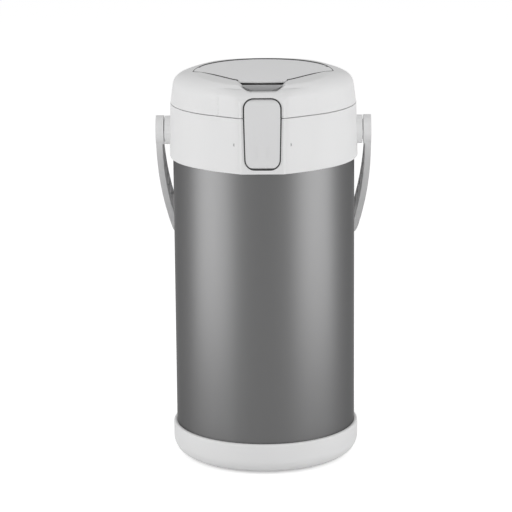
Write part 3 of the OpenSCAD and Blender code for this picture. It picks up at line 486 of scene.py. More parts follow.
def quads(rows: int, cols: int, wrap_rows: bool = False, wrap_cols: bool = False) -> np.ndarray:
    """Corner numbers of the faces of a grid whose points run row by row.

    Args:
        rows: number of rows of points.
        cols: number of points in a row.
        wrap_rows: whether the last row joins the first.
        wrap_cols: whether the last point of a row joins its first.

    Returns:
        An array of four point numbers for each face.
    """
    i = np.arange(rows if wrap_rows else rows - 1)[:, None]
    j = np.arange(cols if wrap_cols else cols - 1)[None, :]
    below, right = (i + 1) % rows, (j + 1) % cols
    corners = [i * cols + j, i * cols + right, below * cols + right, below * cols + j]
    return np.stack(np.broadcast_arrays(*corners), -1).reshape(-1, 4)


def mesh_of(name: str, points: np.ndarray, faces: list) -> bpy.types.Object:
    """A piece from points and faces, with its faces turned outwards.

    Args:
        name: the piece's name.
        points: its points, in millimetres.
        faces: the point numbers of each face.

    Returns:
        The new piece.
    """
    mesh = bpy.data.meshes.new(name)
    mesh.from_pydata((points * MM).tolist(), [], faces)
    work = bmesh.new()
    work.from_mesh(mesh)
    bmesh.ops.remove_doubles(work, verts=work.verts, dist=POINT_MERGE)
    bmesh.ops.recalc_face_normals(work, faces=work.faces)
    work.to_mesh(mesh)
    work.free()
    return new_piece(name, mesh)


def revolved(name: str, profile: np.ndarray, steps: int = 160) -> bpy.types.Object:
    """A closed outline turned about Z.

    Each point (r, z) becomes a ring of points (r cos a, r sin a, z) for a from 0 to a full turn.

    Args:
        name: the piece's name.
        profile: the outline's points, each a radius and a height.
        steps: points in a ring.

    Returns:
        The new piece.
    """
    a = np.linspace(0, 2 * math.pi, steps, endpoint=False)
    r, z = profile[:, :1], profile[:, 1:]
    points = np.stack(np.broadcast_arrays(r * np.cos(a), r * np.sin(a), z), -1)
    return mesh_of(name, points.reshape(-1, 3), quads(len(profile), steps, True, True).tolist())


def prism(name: str, outline: np.ndarray, low: float, high: float, axis: int) -> bpy.types.Object:
    """A closed outline carried straight along one axis.

    Args:
        name: the piece's name.
        outline: points in the plane of the other two axes, in X, Y, Z order.
        low: where it starts along the axis.
        high: where it ends.
        axis: 0, 1 or 2 for X, Y or Z.

    Returns:
        The new piece.
    """
    n = len(outline)
    ends = [np.insert(outline, axis, level, axis=1) for level in (low, high)]
    faces = quads(2, n, False, True).tolist() + [list(range(n)), list(range(n, 2 * n))]
    return mesh_of(name, np.concatenate(ends), faces)


def bead(name: str, path: np.ndarray, radius: float, away: tuple[int, int, int],
         sides: int = 12) -> bpy.types.Object:
    """A round bead along an open path.

    Each path point p gets a ring p + radius (cos a side + sin a up), where side lies across the path and
    the away direction, and up lies across the path and side.

    Args:
        name: the piece's name.
        path: the path's points.
        radius: the bead's radius.
        away: a direction that the path never runs along.
        sides: points in a ring.

    Returns:
        The new piece.
    """
    ahead = np.gradient(path, axis=0)
    side = np.cross(ahead, away)
    side /= np.linalg.norm(side, axis=1, keepdims=True)
    up = np.cross(side, ahead)
    up /= np.linalg.norm(up, axis=1, keepdims=True)
    a = np.linspace(0, 2 * math.pi, sides, endpoint=False)[None, :, None]
    rings = path[:, None] + radius * (np.cos(a) * side[:, None] + np.sin(a) * up[:, None])
    n = len(path)
    ends = [list(range(sides)), list(range((n - 1) * sides, n * sides))]
    return smoothed(mesh_of(name, rings.reshape(-1, 3), quads(n, sides, False, True).tolist() + ends))


def spaced(path: np.ndarray, step: float) -> np.ndarray:
    """A path's points at even steps along it, by its length so far at each point.

    Args:
        path: the path's points.
        step: the longest step.

    Returns:
        The even points, with both ends kept.
    """
    runs = np.concatenate([[0], np.cumsum(np.linalg.norm(np.diff(path, axis=0), axis=1))])
    even = np.linspace(0, runs[-1], int(runs[-1] / step) + 2)
    return np.stack([np.interp(even, runs, column) for column in path.T], -1)


def arc(centre: tuple[float, float] | np.ndarray, radius: float, start: float, end: float,
        steps: int = 10) -> np.ndarray:
    """Points of an arc: centre + radius (cos a, sin a), for a from start to end in degrees."""
    a = np.radians(np.linspace(start, end, steps + 1))
    return np.stack([centre[0] + radius * np.cos(a), centre[1] + radius * np.sin(a)], -1)


def smooth(t: np.ndarray) -> np.ndarray:
    """The smooth step 3 t^2 - 2 t^3, held at 0 below 0 and at 1 above 1."""
    t = np.clip(t, 0, 1)
    return t * t * (3 - 2 * t)


def settled(piece: bpy.types.Object) -> bpy.types.Object:
    """Applies a piece's modifiers to its mesh.

    Args:
        piece: the piece.

    Returns:
        The piece, with no modifier left.
    """
    bpy.context.view_layer.update()
    done = bpy.data.meshes.new_from_object(piece.evaluated_get(bpy.context.evaluated_depsgraph_get()))
    piece.modifiers.clear()
    piece.data = done
    return piece


def carved(piece: bpy.types.Object, *tools: tuple[str, bpy.types.Object]) -> bpy.types.Object:
    """Unites a piece with tools or cuts them out of it, in order, and removes the tools.

    Args:
        piece: a closed piece.
        tools: pairs of an operation, UNION or DIFFERENCE, and a closed object.

    Returns:
        The piece, with its modifiers applied.
    """
    for operation, tool in tools:
        step = piece.modifiers.new(operation.lower(), "BOOLEAN")
        step.operation = operation
        step.solver = "MANIFOLD"
        step.object = tool
        settled(piece)
        bpy.data.objects.remove(tool)
    return piece


def merged_copy(node: str, name: str) -> bpy.types.Object:
    """A copy of a CAD node with its loose triangles joined.

    Args:
        node: the node's name.
        name: the copy's name.

    Returns:
        The copy.
    """
    mesh = frame["nodes"][node].data.copy()
    work = bmesh.new()
    work.from_mesh(mesh)
    bmesh.ops.remove_doubles(work, verts=work.verts, dist=NODE_MERGE)
    work.to_mesh(mesh)
    work.free()
    mesh.materials.clear()
    return new_piece(name, mesh)


def flattened(piece: bpy.types.Object, turn: float = 0.3) -> bpy.types.Object:
    """Makes whole faces of a piece's flat stretches.

    Args:
        piece: a closed piece.
        turn: the most, in degrees, that faces may turn from each other and still be joined.

    Returns:
        The piece.
    """
    work = bmesh.new()
    work.from_mesh(piece.data)
    bmesh.ops.dissolve_limit(work, angle_limit=math.radians(turn), verts=work.verts, edges=work.edges)
    work.to_mesh(piece.data)
    work.free()
    return piece


def eased(piece: bpy.types.Object, width_mm: float, steps: int = 2) -> bpy.types.Object:
    """Rounds the sharp edges of a piece, as a mould does, and shades what is round smoothly.

    Args:
        piece: a closed piece.
        width_mm: how far each edge is taken back.
        steps: faces across a rounded edge.

    Returns:
        The piece, with its modifiers applied.
    """
    flattened(piece)
    bevel = piece.modifiers.new("ease", "BEVEL")
    bevel.width = width_mm * MM
    bevel.segments = steps
    bevel.limit_method = "ANGLE"
    bevel.angle_limit = math.radians(SHARP)
    bevel.use_clamp_overlap = True
    settled(piece)
    return smoothed(piece)


def smoothed(piece: bpy.types.Object) -> bpy.types.Object:
    """Shades a piece smoothly except over its sharp edges.

    Args:
        piece: the piece.

    Returns:
        The piece.
    """
    piece.data.polygons.foreach_set("use_smooth", np.ones(len(piece.data.polygons), bool))
    piece.data.set_sharp_from_angle(angle=math.radians(SHARP))
    return piece


def evened(piece: bpy.types.Object, weight: int = 80) -> bpy.types.Object:
    """Lets large faces lead the smooth shading, so that slivers left by a cut don't show.

    Args:
        piece: a piece that is shaded smoothly.
        weight: how strongly large faces lead, from 1 to 100, where 50 is evenly.

    Returns:
        The piece, with its modifiers applied.
    """
    weigh = piece.modifiers.new("even", "WEIGHTED_NORMAL")
    weigh.keep_sharp = True
    weigh.weight = weight
    return settled(piece)


def span(node: str) -> np.ndarray:
    """Lowest and highest corner of a CAD node, in millimetres."""
    return np.array([list(corner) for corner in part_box(node)]) / MM


# ---------------------------------------------------------------------------- sub-assemblies


@dataclass
class Case:
    """The painted steel sleeve, with its turned-in hem at the foot.

    Attributes:
        wall: sheet thickness.
        hem: outer radius of the hem's turn.
        flange: how far the flange reaches inwards.
        steps: points round the sleeve.
        hem_steps: faces across the hem's turn.
        wall_rows: rows of points up the wall.
    """

    wall: float = 0.8
    hem: float = 1.2
    flange: float = 5.0
    steps: int = 192
    hem_steps: int = 6
    wall_rows: int = 9

    def build(self, shop: Workshop) -> None:
        """Turns the sleeve's section: wall, rounded hem and inward flange.

        Args:
            shop: the workshop that dresses it.
        """
        low, high = span("outer_case")
        r, z0, z1 = high[0], low[2], high[2]
        outer = arc((r - self.hem, z0 + self.hem), self.hem, -90, 0, self.hem_steps)
        inner = arc((r - self.hem, z0 + self.hem), self.hem - self.wall, 0, -90, self.hem_steps)
        heights = np.linspace(z0 + self.hem, z1, self.wall_rows)[1:]
        up = np.stack([np.full_like(heights, r), heights], -1)
        down = np.stack([np.full_like(heights, r - self.wall), heights[::-1]], -1)
        foot = r - self.wall - self.flange
        section = np.concatenate([[[foot, z0]], outer, up, down, inner, [[foot, z0 + self.wall]]])
        sleeve = smoothed(revolved("case_sleeve", section, self.steps))
        shop.place(sleeve, Slot.CASE, Body.POT, "outer_case")


@dataclass
class FrontSwell:
    """The front of ring and lid round the spout panel, which flows into the round body on both sides.

    Attributes:
        corner_half: half the flat face's width at the foot.
        corner_spread: how much farther out the corner is at the lid's shoulder.
        ease: size of the eased corner.
        reach: half the swell's width.
        sunk: how deep its edges lie under the body.
        dip_run: the width over which its sides dip.
        top_dip: the share of its height at which its top starts to dip.
        back: how far inside the body its rear lies.
        least_wall: its least thickness.
        across: points in a row.
        up: rows of points on the lid.
    """

    corner_half: float = 18.4
    corner_spread: float = 3.0
    ease: float = 3.2
    reach: float = 46.0
    sunk: float = 0.6
    dip_run: float = 9.0
    top_dip: float = 0.78
    back: float = 1.75
    least_wall: float = 0.1
    across: int = 81
    up: int = 41

    def surface(self, x: np.ndarray, z: np.ndarray, round_r: np.ndarray, front_y: np.ndarray,
                rise: np.ndarray) -> np.ndarray:
        """Depth of the swell.

        The flat face at front_y turns at its corner into a straight flank, which meets the round body
        -sqrt(r^2 - x^2) as a tangent and then dips under it. The corner is eased by a hyperbola: beyond it
        by u, the face has gone back by slope (u + sqrt(u^2 + ease^2)) / 2. The corner moves out with
        height.

        Args:
            x: places across.
            z: heights.
            round_r: the round body's radius at each height.
            front_y: the flat face's depth at each height.
            rise: 0 at the parting line and 1 at the lid's shoulder.

        Returns:
            The depth, Y, at each place.
        """
        corner = self.corner_half + self.corner_spread * np.clip(rise, 0, 1) ** 2
        meets = np.arccos(np.minimum(round_r / np.hypot(corner, front_y), 1))
        turn = np.arctan2(corner, -front_y) + meets
        foot, beyond = round_r * np.sin(turn), np.abs(x) - corner
        flank = front_y + np.tan(turn) * (beyond + np.sqrt(beyond ** 2 + self.ease ** 2)) / 2
        aside = smooth((np.abs(x) - foot + self.dip_run / 2) / self.dip_run)
        dip = self.sunk * np.maximum(aside, smooth((rise - self.top_dip) / (1 - self.top_dip)))
        return np.where(np.abs(x) < foot, flank, -np.sqrt(round_r ** 2 - x ** 2)) + dip

    def solid(self, name: str, z: np.ndarray, round_r: np.ndarray, front_y: np.ndarray,
              rise: np.ndarray) -> bpy.types.Object:
        """A closed shell between the swell's surface and a surface inside the wall.

        Args:
            name: the piece's name.
            z: heights, from foot to head.
            round_r: the round body's radius at each height.
            front_y: the flat face's depth at each height.
            rise: how far up each height is, as surface takes it.

        Returns:
            The shell.
        """
        x = np.linspace(-self.reach, self.reach, self.across)[None, :]
        columns = [a[:, None] for a in (z, round_r, front_y, rise)]
        y = self.surface(x, *columns)
        inner = -np.sqrt(columns[1] ** 2 - x ** 2) + self.back
        front = np.stack(np.broadcast_arrays(x, y, columns[0]), -1)
        rear = np.stack(np.broadcast_arrays(x, np.maximum(inner, y + self.least_wall), columns[0]), -1)
        rows, cols = front.shape[:2]
        n = rows * cols
        faces = quads(rows, cols)
        border = np.concatenate([
            np.arange(cols), np.arange(1, rows) * cols + cols - 1,
            (rows - 1) * cols + np.arange(cols - 2, -1, -1), np.arange(rows - 2, 0, -1) * cols])
        after = np.roll(border, -1)
        rim = np.stack([border, after, after + n, border + n], -1)
        points = np.concatenate([front.reshape(-1, 3), rear.reshape(-1, 3)])
        return mesh_of(name, points, np.concatenate([faces, faces[:, ::-1] + n, rim]).tolist())


@dataclass
class DomeShape:
    """The lid's round outer form: a leaning side, a rounded shoulder and a level top.

    Attributes:
        arc_r: distance from the axis to the middle of the shoulder's arc.
        round: the shoulder's radius.
        brow_centre: how far ahead of the axis the middle of the brow's arc is.
        brow_round: the brow's radius.
        brow_z: height of the middle of the brow's arc above the parting line.
    """

    arc_r: float = 58.2
    round: float = 14.0
    brow_centre: float = 67.0
    brow_round: float = 11.5
    brow_z: float = 10.3

    def radius(self, z: np.ndarray, z0: float, arc_z: float, r0: float) -> np.ndarray:
        """Radius of the dome at each height.

        Below arc_z the side leans in a straight line from r0. Above it the radius is
        arc_r + sqrt(round^2 - (z - arc_z)^2).

        Args:
            z: heights.
            z0: the side's foot.
            arc_z: the middle of the shoulder's arc.
            r0: the radius at the foot.

        Returns:
            The radii.
        """
        lean = r0 - (r0 - self.arc_r - self.round) * (z - z0) / (arc_z - z0)
        shoulder = self.arc_r + np.sqrt(np.maximum(self.round ** 2 - (z - arc_z) ** 2, 0))
        return np.where(z < arc_z, lean, shoulder)

    def brow(self, z: np.ndarray, parting: float, face_y: float) -> np.ndarray:
        """Depth of the nose's front at each height: the flat face, then a quarter round going back.

        Args:
            z: heights.
            parting: the parting line's height.
            face_y: the flat face's depth.

        Returns:
            The depths.
        """
        centre_z = parting + self.brow_z
        reach = np.sqrt(np.maximum(self.brow_round ** 2 - np.maximum(z - centre_z, 0) ** 2, 0))
        return np.maximum(-(self.brow_centre + reach), face_y)


@dataclass
class Crown:
    """How the lid's top falls away and draws in to both sides, which makes a shallow dome of it.

    Attributes:
        dome_r: radius of the dome across.
        low_z: height at which the settling starts.
        high_z: height from which it is full.
        rim_r: radius within which it is full.
        side_r: radius at which it ends, at the side wall.
        front_y: depth at which the fall ends, towards the front.
        back_y: depth from which the fall is full.
        strip: width of the strips that a piece is cut into.
        drawn_in: how far the sides come in.
        drawn_from: distance across at which they start to.
        drawn_to: distance across from which they are fully in.
    """

    dome_r: float = 575.0
    low_z: float = 299.0
    high_z: float = 311.0
    rim_r: float = 59.0
    side_r: float = 73.5
    front_y: float = -24.0
    back_y: float = 6.0
    strip: float = 6.0
    drawn_in: float = 2.2
    drawn_from: float = 25.0
    drawn_to: float = 57.0

    def settle(self, piece: bpy.types.Object) -> bpy.types.Object:
        """Lowers a piece's top by x^2 / (2 dome_r), faded out towards the side wall and the front.

        Its sides also come in by drawn_in, which grows evenly from drawn_from to drawn_to.

        Args:
            piece: a piece in place.

        Returns:
            The piece, cut into strips across so that its flat faces can follow the dome.
        """
        work = bmesh.new()
        work.from_mesh(piece.data)
        for x in np.arange(-self.side_r + self.strip / 2, self.side_r, self.strip):
            every = work.verts[:] + work.edges[:] + work.faces[:]
            bmesh.ops.bisect_plane(work, geom=every, plane_co=(x * MM, 0, 0), plane_no=(1, 0, 0))
        work.to_mesh(piece.data)
        work.free()
        flat = np.empty(len(piece.data.vertices) * 3)
        piece.data.vertices.foreach_get("co", flat)
        at = flat.reshape(-1, 3)
        x, y, z = at.T / MM
        share = smooth((z - self.low_z) / (self.high_z - self.low_z))
        share *= smooth((self.side_r - np.hypot(x, y)) / (self.side_r - self.rim_r))
        far = np.clip((np.abs(x) - self.drawn_from) / (self.drawn_to - self.drawn_from), 0, 1)
        at[:, 0] -= share * np.sign(x) * far * self.drawn_in * MM
        share *= smooth((y - self.front_y) / (self.back_y - self.front_y))
        at[:, 2] -= share * x ** 2 / (2 * self.dome_r) * MM
        piece.data.vertices.foreach_set("co", at.ravel())
        piece.data.update()
        return piece


@dataclass
class Openings:
    """Front outlines of the spout panel, its pocket and the finger scoop.

    Attributes:
        parting: height of the line between ring and lid.
        parting_gap: half the gap there.
        gap: the gap round the panel.
        slim: the panel's width as a share of its node's.
        panel_round: the panel's corner radius.
        low_half: half the node's width at the foot.
        scoop_half: half the scoop's width at its top.
        scoop_low: half the scoop's width at its floor, before its corners are rounded.
        scoop_round: the scoop's corner radius.
        scoop_above: height of the scoop's floor above the parting line.
        scoop_bend: how far under the lid's top its sides turn upright.
        scoop_over: how far past the lid's top its cutter goes.
        scoop_back: the depth that it is cut to.
        ahead_y: the depth at which cutters start, ahead of the pot.
    """

    parting: float = 289.7
    parting_gap: float = 0.3
    gap: float = 1.1
    slim: float = 0.923
    panel_round: float = 7.2
    low_half: float = 14.2
    scoop_half: float = 20.2
    scoop_low: float = 11.6
    scoop_round: float = 9.0
    scoop_above: float = 19.5
    scoop_bend: float = 2.0
    scoop_over: float = 10.0
    scoop_back: float = -47.0
    ahead_y: float = -95.0

    def panel_half(self, grown: float) -> np.ndarray:
        """Right half of the panel's outline, from its foot to its top, wider above the parting line.

        Args:
            grown: how far the outline lies outside the panel's own.

        Returns:
            The outline's points, X and Z.
        """
        low, high = span("spout_panel")
        half, r = high[0] * self.slim + grown, self.panel_round + grown
        foot, z0, z1 = self.low_half * self.slim + grown, low[2] - grown, high[2] + grown
        return np.concatenate([arc((foot - r, z0 + r), r, -90, 0), [[half, self.parting]],
                               arc((half - r, z1 - r), r, 0, 90)])

    def pocket(self, name: str, back_y: float) -> bpy.types.Object:
        """A cutter for the panel's pocket, of the panel's outline grown by the gap.

        Args:
            name: the cutter's name.
            back_y: how far back it reaches.

        Returns:
            The cutter.
        """
        right = self.panel_half(self.gap)
        outline = np.concatenate([right, right[::-1] * [-1, 1]])
        return prism(name, outline, self.ahead_y, back_y, 1)

    def scoop(self, top: float) -> bpy.types.Object:
        """A cutter for the finger scoop: a level floor, rounded corners and two sloping sides.

        Args:
            top: the lid's top.

        Returns:
            The cutter.
        """
        z0, z1 = self.parting + self.scoop_above, top - self.scoop_bend
        side = np.array([self.scoop_half - self.scoop_low, z1 - z0])
        turn = math.degrees(math.atan2(side[1], side[0]))
        run = self.scoop_round * math.tan(math.radians(turn / 2))
        corner = arc((self.scoop_low - run, z0 + self.scoop_round), self.scoop_round, -90, turn - 90)
        right = np.concatenate([corner, [[self.scoop_half, z1], [self.scoop_half, top + self.scoop_over]]])
        outline = np.concatenate([right, right[::-1] * [-1, 1]])
        return prism("scoop", outline, self.ahead_y, self.scoop_back, 1)


@dataclass
class Shells:
    """The off-white mouldings of the pot: base cup, shoulder ring and lid.

    Attributes:
        swell: the form round the spout panel.
        shape: the lid's round form.
        openings: the openings in the front.
        crown: the lid's top.
        base_ease: how far the base cup's edges are taken back.
        ring_ease: how far the ring's are.
        lid_ease: how far the lid's are.
        lid_ease_steps: faces across an eased edge of the lid.
        top: height of the lid's top.
        crown_rise: from the shoulder's highest point up to the top.
        swell_top: height of the swell's upper end above the parting line.
        lid_inset: how far the lid's foot stands inside the ring's head.
        lid_pad_inset: the same at the flat face.
        pocket_back: depth that the lid's pocket is cut to.
        pad_lean: how far the flat face leans back over the ring's height.
        pad_low_y: the flat face's depth at its foot.
        ring_lean: how far the ring's side leans in over its height.
        ring_low_r: the ring's radius at its foot.
        ring_rows: rows of points of the swell on the ring.
        ring_foot_gap: how far the swell stops short of the ring's foot.
        ring_head_gap: how far it stops short of the ring's head.
        niche_back: depth that the ring's opening is cut to.
        plug_x: distance of a plug's middle from the centre line.
        plug_half: half a plug's width and half its height.
        plug_rise: the plugs' height as a share of the ring's.
        plug_proud: how far a plug stands out.
        plug_depth: how far a plug goes in.
        plug_steps: points round a plug.
    """

    swell: FrontSwell = field(default_factory=FrontSwell)
    shape: DomeShape = field(default_factory=DomeShape)
    openings: Openings = field(default_factory=Openings)
    crown: Crown = field(default_factory=Crown)
    base_ease: float = 0.45
    ring_ease: float = 0.4
    lid_ease: float = 0.5
    lid_ease_steps: int = 3
    top: float = 317.0
    crown_rise: float = 0.5
    swell_top: float = 21.4
    lid_inset: float = 0.2
    lid_pad_inset: float = 0.1
    pocket_back: float = -68.6
    pad_lean: float = 0.5
    pad_low_y: float = -77.4
    ring_lean: float = 1.0
    ring_low_r: float = 75.1
    ring_rows: int = 5
    ring_foot_gap: float = 0.05
    ring_head_gap: float = 0.02
    niche_back: float = -67.0
    plug_x: float = 21.9
    plug_half: tuple[float, float] = (0.7, 1.25)
    plug_rise: float = 0.5
    plug_proud: float = 0.12
    plug_depth: float = 2.0
    plug_steps: int = 24

    def build(self, shop: Workshop) -> None:
        """Makes the three mouldings and the plugs, and places them.

        Args:
            shop: the workshop that dresses them.
        """
        base = eased(merged_copy("base_cup", "base_moulding"), self.base_ease)
        shop.place(base, Slot.SHELL, Body.POT, "base_cup")
        shop.place(evened(eased(self.ring(), self.ring_ease)), Slot.SHELL, Body.POT, "shoulder_ring")
        lid = self.crown.settle(eased(self.lid(), self.lid_ease, self.lid_ease_steps))
        shop.place(evened(smoothed(lid)), Slot.SHELL, Body.LID, "lid_dome")
        self.plugs(shop)

    def plugs(self, shop: Workshop) -> None:
        """Small oval plugs over the ends of the spout's pin, standing just clear of the swell.

        Args:
            shop: the workshop that dresses them.
        """
        low, high = span("pin_plugs")
        z, a = (low[2] + high[2]) / 2, np.linspace(0, 2 * math.pi, self.plug_steps, endpoint=False)
        round_r = self.ring_low_r - self.ring_lean * self.plug_rise
        front_y = self.pad_low_y + self.pad_lean * self.plug_rise
        spot = [np.array(value) for value in (self.plug_x, z, round_r, front_y, 0.0)]
        face = float(self.swell.surface(*spot))
        for side in (-1, 1):
            across = side * self.plug_x + self.plug_half[0] * np.cos(a)
            oval = np.stack([across, z + self.plug_half[1] * np.sin(a)], -1)
            plug = prism("pin_plug", oval, face - self.plug_proud, face + self.plug_depth, 1)
            shop.place(smoothed(plug), Slot.TAB, Body.POT, "pin_plugs")

    def ring(self) -> bpy.types.Object:
        """The shoulder ring, with the swell added to its front and the panel's opening cut again.

        Returns:
            The ring, not yet eased.
        """
        ring = merged_copy("shoulder_ring", "shoulder_moulding")
        z0 = span("shoulder_ring")[0][2] + self.ring_foot_gap
        z1 = self.openings.parting - self.openings.parting_gap - self.ring_head_gap
        z = np.linspace(z0, z1, self.ring_rows)
        rise = (z - z0) / (z1 - z0)
        swell = self.swell.solid("swell", z, self.ring_low_r - self.ring_lean * rise,
                                 self.pad_low_y + self.pad_lean * rise, 0 * rise)
        mouth = self.openings.pocket("mouth", self.niche_back)
        return carved(ring, ("UNION", carved(swell, ("DIFFERENCE", mouth))))

    def lid(self) -> bpy.types.Object:
        """The lid's shell, with the swell carried up to its shoulder, pocket and scoop cut again.

        Returns:
            The lid, not yet eased.
        """
        lid = merged_copy("lid_dome", "lid_moulding")
        parting, top = self.openings.parting, self.top
        z0, arc_z = parting + self.openings.parting_gap, top - self.crown_rise - self.shape.round
        z = z0 + (parting + self.swell_top - z0) * np.linspace(0, 1, self.swell.up)
        radius = self.shape.radius(z, z0, arc_z, self.ring_low_r - self.ring_lean - self.lid_inset)
        front = self.shape.brow(z, parting, self.pad_low_y + self.pad_lean + self.lid_pad_inset)
        swell = self.swell.solid("swell", z, radius, front, (z - z0) / (z[-1] - z0))
        pocket = self.openings.pocket("pocket", self.pocket_back)
        scoop = self.openings.scoop(top)
        return carved(lid, ("UNION", carved(swell, ("DIFFERENCE", pocket))), ("DIFFERENCE", scoop))


@dataclass
class GapShadeBeads:
    """Painted shade: dark beads laid in the gap round the press plate and in the gap round the spout panel,
    which stand for the shadow in these gaps.

    Attributes:
        radius: the beads' radius.
        openings: the openings in the front.
        crown: the lid's top.
        plate_gap: the gap round the plate.
        plate_cy: depth of the middle of the plate's round back.
        plate_r: radius of its round back.
        flat: distance from the axis to each of its straight edges.
        nose: how far ahead of the axis its nose reaches.
        tip: radius between a straight edge and the back.
        crown_z: height of the crown on the axis.
        most_z: the most that the bead's middle rises to.
        crown_r: radius of the crown from front to back.
        stop_x: distance across at which the bead stops, at the scoop.
        back_lead: degrees from the end of the tip's arc to the back's first point.
        back_steps: faces along half the back.
        panel_y: depth of the panel's bead at the parting line.
        panel_lean: how much it goes back for each millimetre of height.
        step: distance between a path's points.
    """

    radius: float = 0.58
    openings: Openings = field(default_factory=Openings)
    crown: Crown = field(default_factory=Crown)
    plate_gap: float = 0.9
    plate_cy: float = -1.0
    plate_r: float = 57.3
    flat: float = 49.2
    nose: float = 55.0
    tip: float = 7.0
    crown_z: float = 316.95
    most_z: float = 316.2
    crown_r: float = 630.0
    stop_x: float = 19.0
    back_lead: float = 4.0
    back_steps: int = 40
    panel_y: float = -76.35
    panel_lean: float = 0.0115
    step: float = 1.2

    def build(self, shop: Workshop) -> None:
        """Makes the plate's painted-shade bead and both parts of the panel's, which part where the lid does.

        Args:
            shop: the workshop that dresses them.
        """
        # painted shade: a dark bead in the plate's gap stands for the shadow there
        plate = self.crown.settle(bead("plate_gap_shade", self.plate_path(), self.radius, (0, 0, 1)))
        shop.place(smoothed(plate), Slot.FOOT_AND_GAP_SHADE, Body.LID)
        right = self.openings.panel_half(self.openings.gap / 2)
        side, parting, gap = right[:, 0].max(), self.openings.parting, self.openings.parting_gap
        below = np.concatenate([right[right[:, 1] < parting], [[side, parting - gap]]])
        above = np.concatenate([[[side, parting + gap]], right[right[:, 1] > parting]])
        low = self.panel_path(np.concatenate([below[::-1] * [-1, 1], below]))
        high = self.panel_path(np.concatenate([above, above[::-1] * [-1, 1]]))
        # painted shade: dark beads in the panel's gap stand for the shadow there
        shop.place(bead("spout_gap_shade_low", low, self.radius, (0, 1, 0)), Slot.FOOT_AND_GAP_SHADE, Body.POT)
        shop.place(bead("spout_gap_shade_high", high, self.radius, (0, 1, 0)), Slot.FOOT_AND_GAP_SHADE, Body.LID)

    def plate_path(self) -> np.ndarray:
        """Middle of the plate's gap, from one corner of the scoop round the back to the other.

        The plate's outline is a nose arc, a straight edge at 45 degrees, a fillet and a round back, and the
        bead's height is crown_z - y^2 / (2 crown_r), but at most most_z.

        Returns:
            The path's points.
        """
        g, turn = self.plate_gap / 2, math.sqrt(0.5)
        nose_cy = -(self.nose - self.flat) / (1 - turn)
        u, v, c = np.array([turn, -turn]), np.array([turn, turn]), np.array([0, self.plate_cy])
        reach = self.flat + g - self.tip - c @ u
        far = c @ v + math.sqrt((self.plate_r + g - self.tip) ** 2 - reach ** 2)
        tip = u * (self.flat + g - self.tip) + v * far
        tip_a = math.degrees(math.atan2(tip[1] - c[1], tip[0]))
        right = np.concatenate([
            arc((0, nose_cy), self.nose + nose_cy + g, -90, -45), arc(tip, self.tip, -45, tip_a),
            arc(c, self.plate_r + g, tip_a + self.back_lead, 90, self.back_steps)])
        round_path = spaced(np.concatenate([right, right[-2::-1] * [-1, 1]]), self.step)
        kept = round_path[(np.abs(round_path[:, 0]) > self.stop_x) | (round_path[:, 1] > 0)]
        height = np.minimum(self.crown_z - kept[:, 1] ** 2 / (2 * self.crown_r), self.most_z)
        return np.column_stack([kept, height])

    def panel_path(self, front: np.ndarray) -> np.ndarray:
        """A stretch of the panel's gap, carried back to just behind its face.

        Args:
            front: the stretch as seen from the front, X and Z.

        Returns:
            The path's points.
        """
        even = spaced(front, self.step)
        depth = self.panel_y + self.panel_lean * (even[:, 1] - self.openings.parting)
        return np.column_stack([even[:, 0], depth, even[:, 1]])


@dataclass
class Fittings:
    """The smaller mouldings: press plate, spout panel, latch tab, carry bail and those under the lid.

    Attributes:
        plate_ease: how far the press plate's edges are taken back.
        panel_ease: how far the spout panel's are.
        tab_ease: how far the latch tab's are.
        bail_ease: how far the carry bail's are.
        inner_ease: how far those of the mouldings under the lid are.
        crown: the lid's top, which the press plate follows.
        openings: the openings in the front, which the spout panel fits.
    """

    plate_ease: float = 0.7
    panel_ease: float = 0.6
    tab_ease: float = 0.35
    bail_ease: float = 0.8
    inner_ease: float = 0.3
    crown: Crown = field(default_factory=Crown)
    openings: Openings = field(default_factory=Openings)

    def build(self, shop: Workshop) -> None:
        """Eases the edges of each moulding and places it.

        Args:
            shop: the workshop that dresses them.
        """
        plan = [
            ("push_plate", "press_plate", self.plate_ease, Slot.PLATE, Body.PRESS),
            ("spout_panel", "spout_trough", self.panel_ease, Slot.PANEL, Body.SPOUT),
            ("latch_tab", "latch_slide", self.tab_ease, Slot.TAB, Body.TAB),
            ("bail_handle", "carry_bail", self.bail_ease, Slot.SHELL, Body.BAIL),
            ("lid_base", "lid_floor", self.inner_ease, Slot.INNER, Body.LID),
            ("mouth_collar", "mouth_ring", self.inner_ease, Slot.INNER, Body.POT),
            ("stopper_body", "stopper", self.inner_ease, Slot.INNER, Body.POT),
        ]
        for node, name, ease, slot, body in plan:
            piece = evened(eased(merged_copy(node, name), ease))
            if node == "push_plate":
                piece = evened(smoothed(self.crown.settle(piece)))
            if node == "spout_panel":
                piece.data.transform(Matrix.Diagonal((self.openings.slim, 1, 1, 1)))
            shop.place(piece, slot, body, node)


@dataclass
class Innards:
    """CAD nodes that take the finish of their slot; the pump's bellows and spring get pieces of their own
    that ride on the lid.

    Attributes:
        travel: how far the press plate goes down; not used.
        shortened: the bellows and spring nodes, each with its piece's name.
    """

    travel: float = 14.0
    shortened: tuple[tuple[str, str], ...] = (("bellows", "pump_bellows"), ("return_spring", "plate_spring"))

    def build(self, shop: Workshop) -> None:
        """Copies bellows and spring to pieces of their own on the lid, and dresses every other CAD node.

        Args:
            shop: the workshop that dresses them.
        """
        slots = {part["node"]: Slot(part["material_slot"]) for part in frame["record"]["subparts"]}
        for node, name in self.shortened:
            piece = merged_copy(node, name)
            shop.place(piece, slots[node], Body.LID, node)
            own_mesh(piece)
        for name, piece in sorted(frame["nodes"].items()):
            if not piece.hide_render:
                shop.dress(piece, slots[name])
                LOG.info("%s keeps its mesh, in %s", name, slots[name].value)


# ---------------------------------------------------------------------------- studio


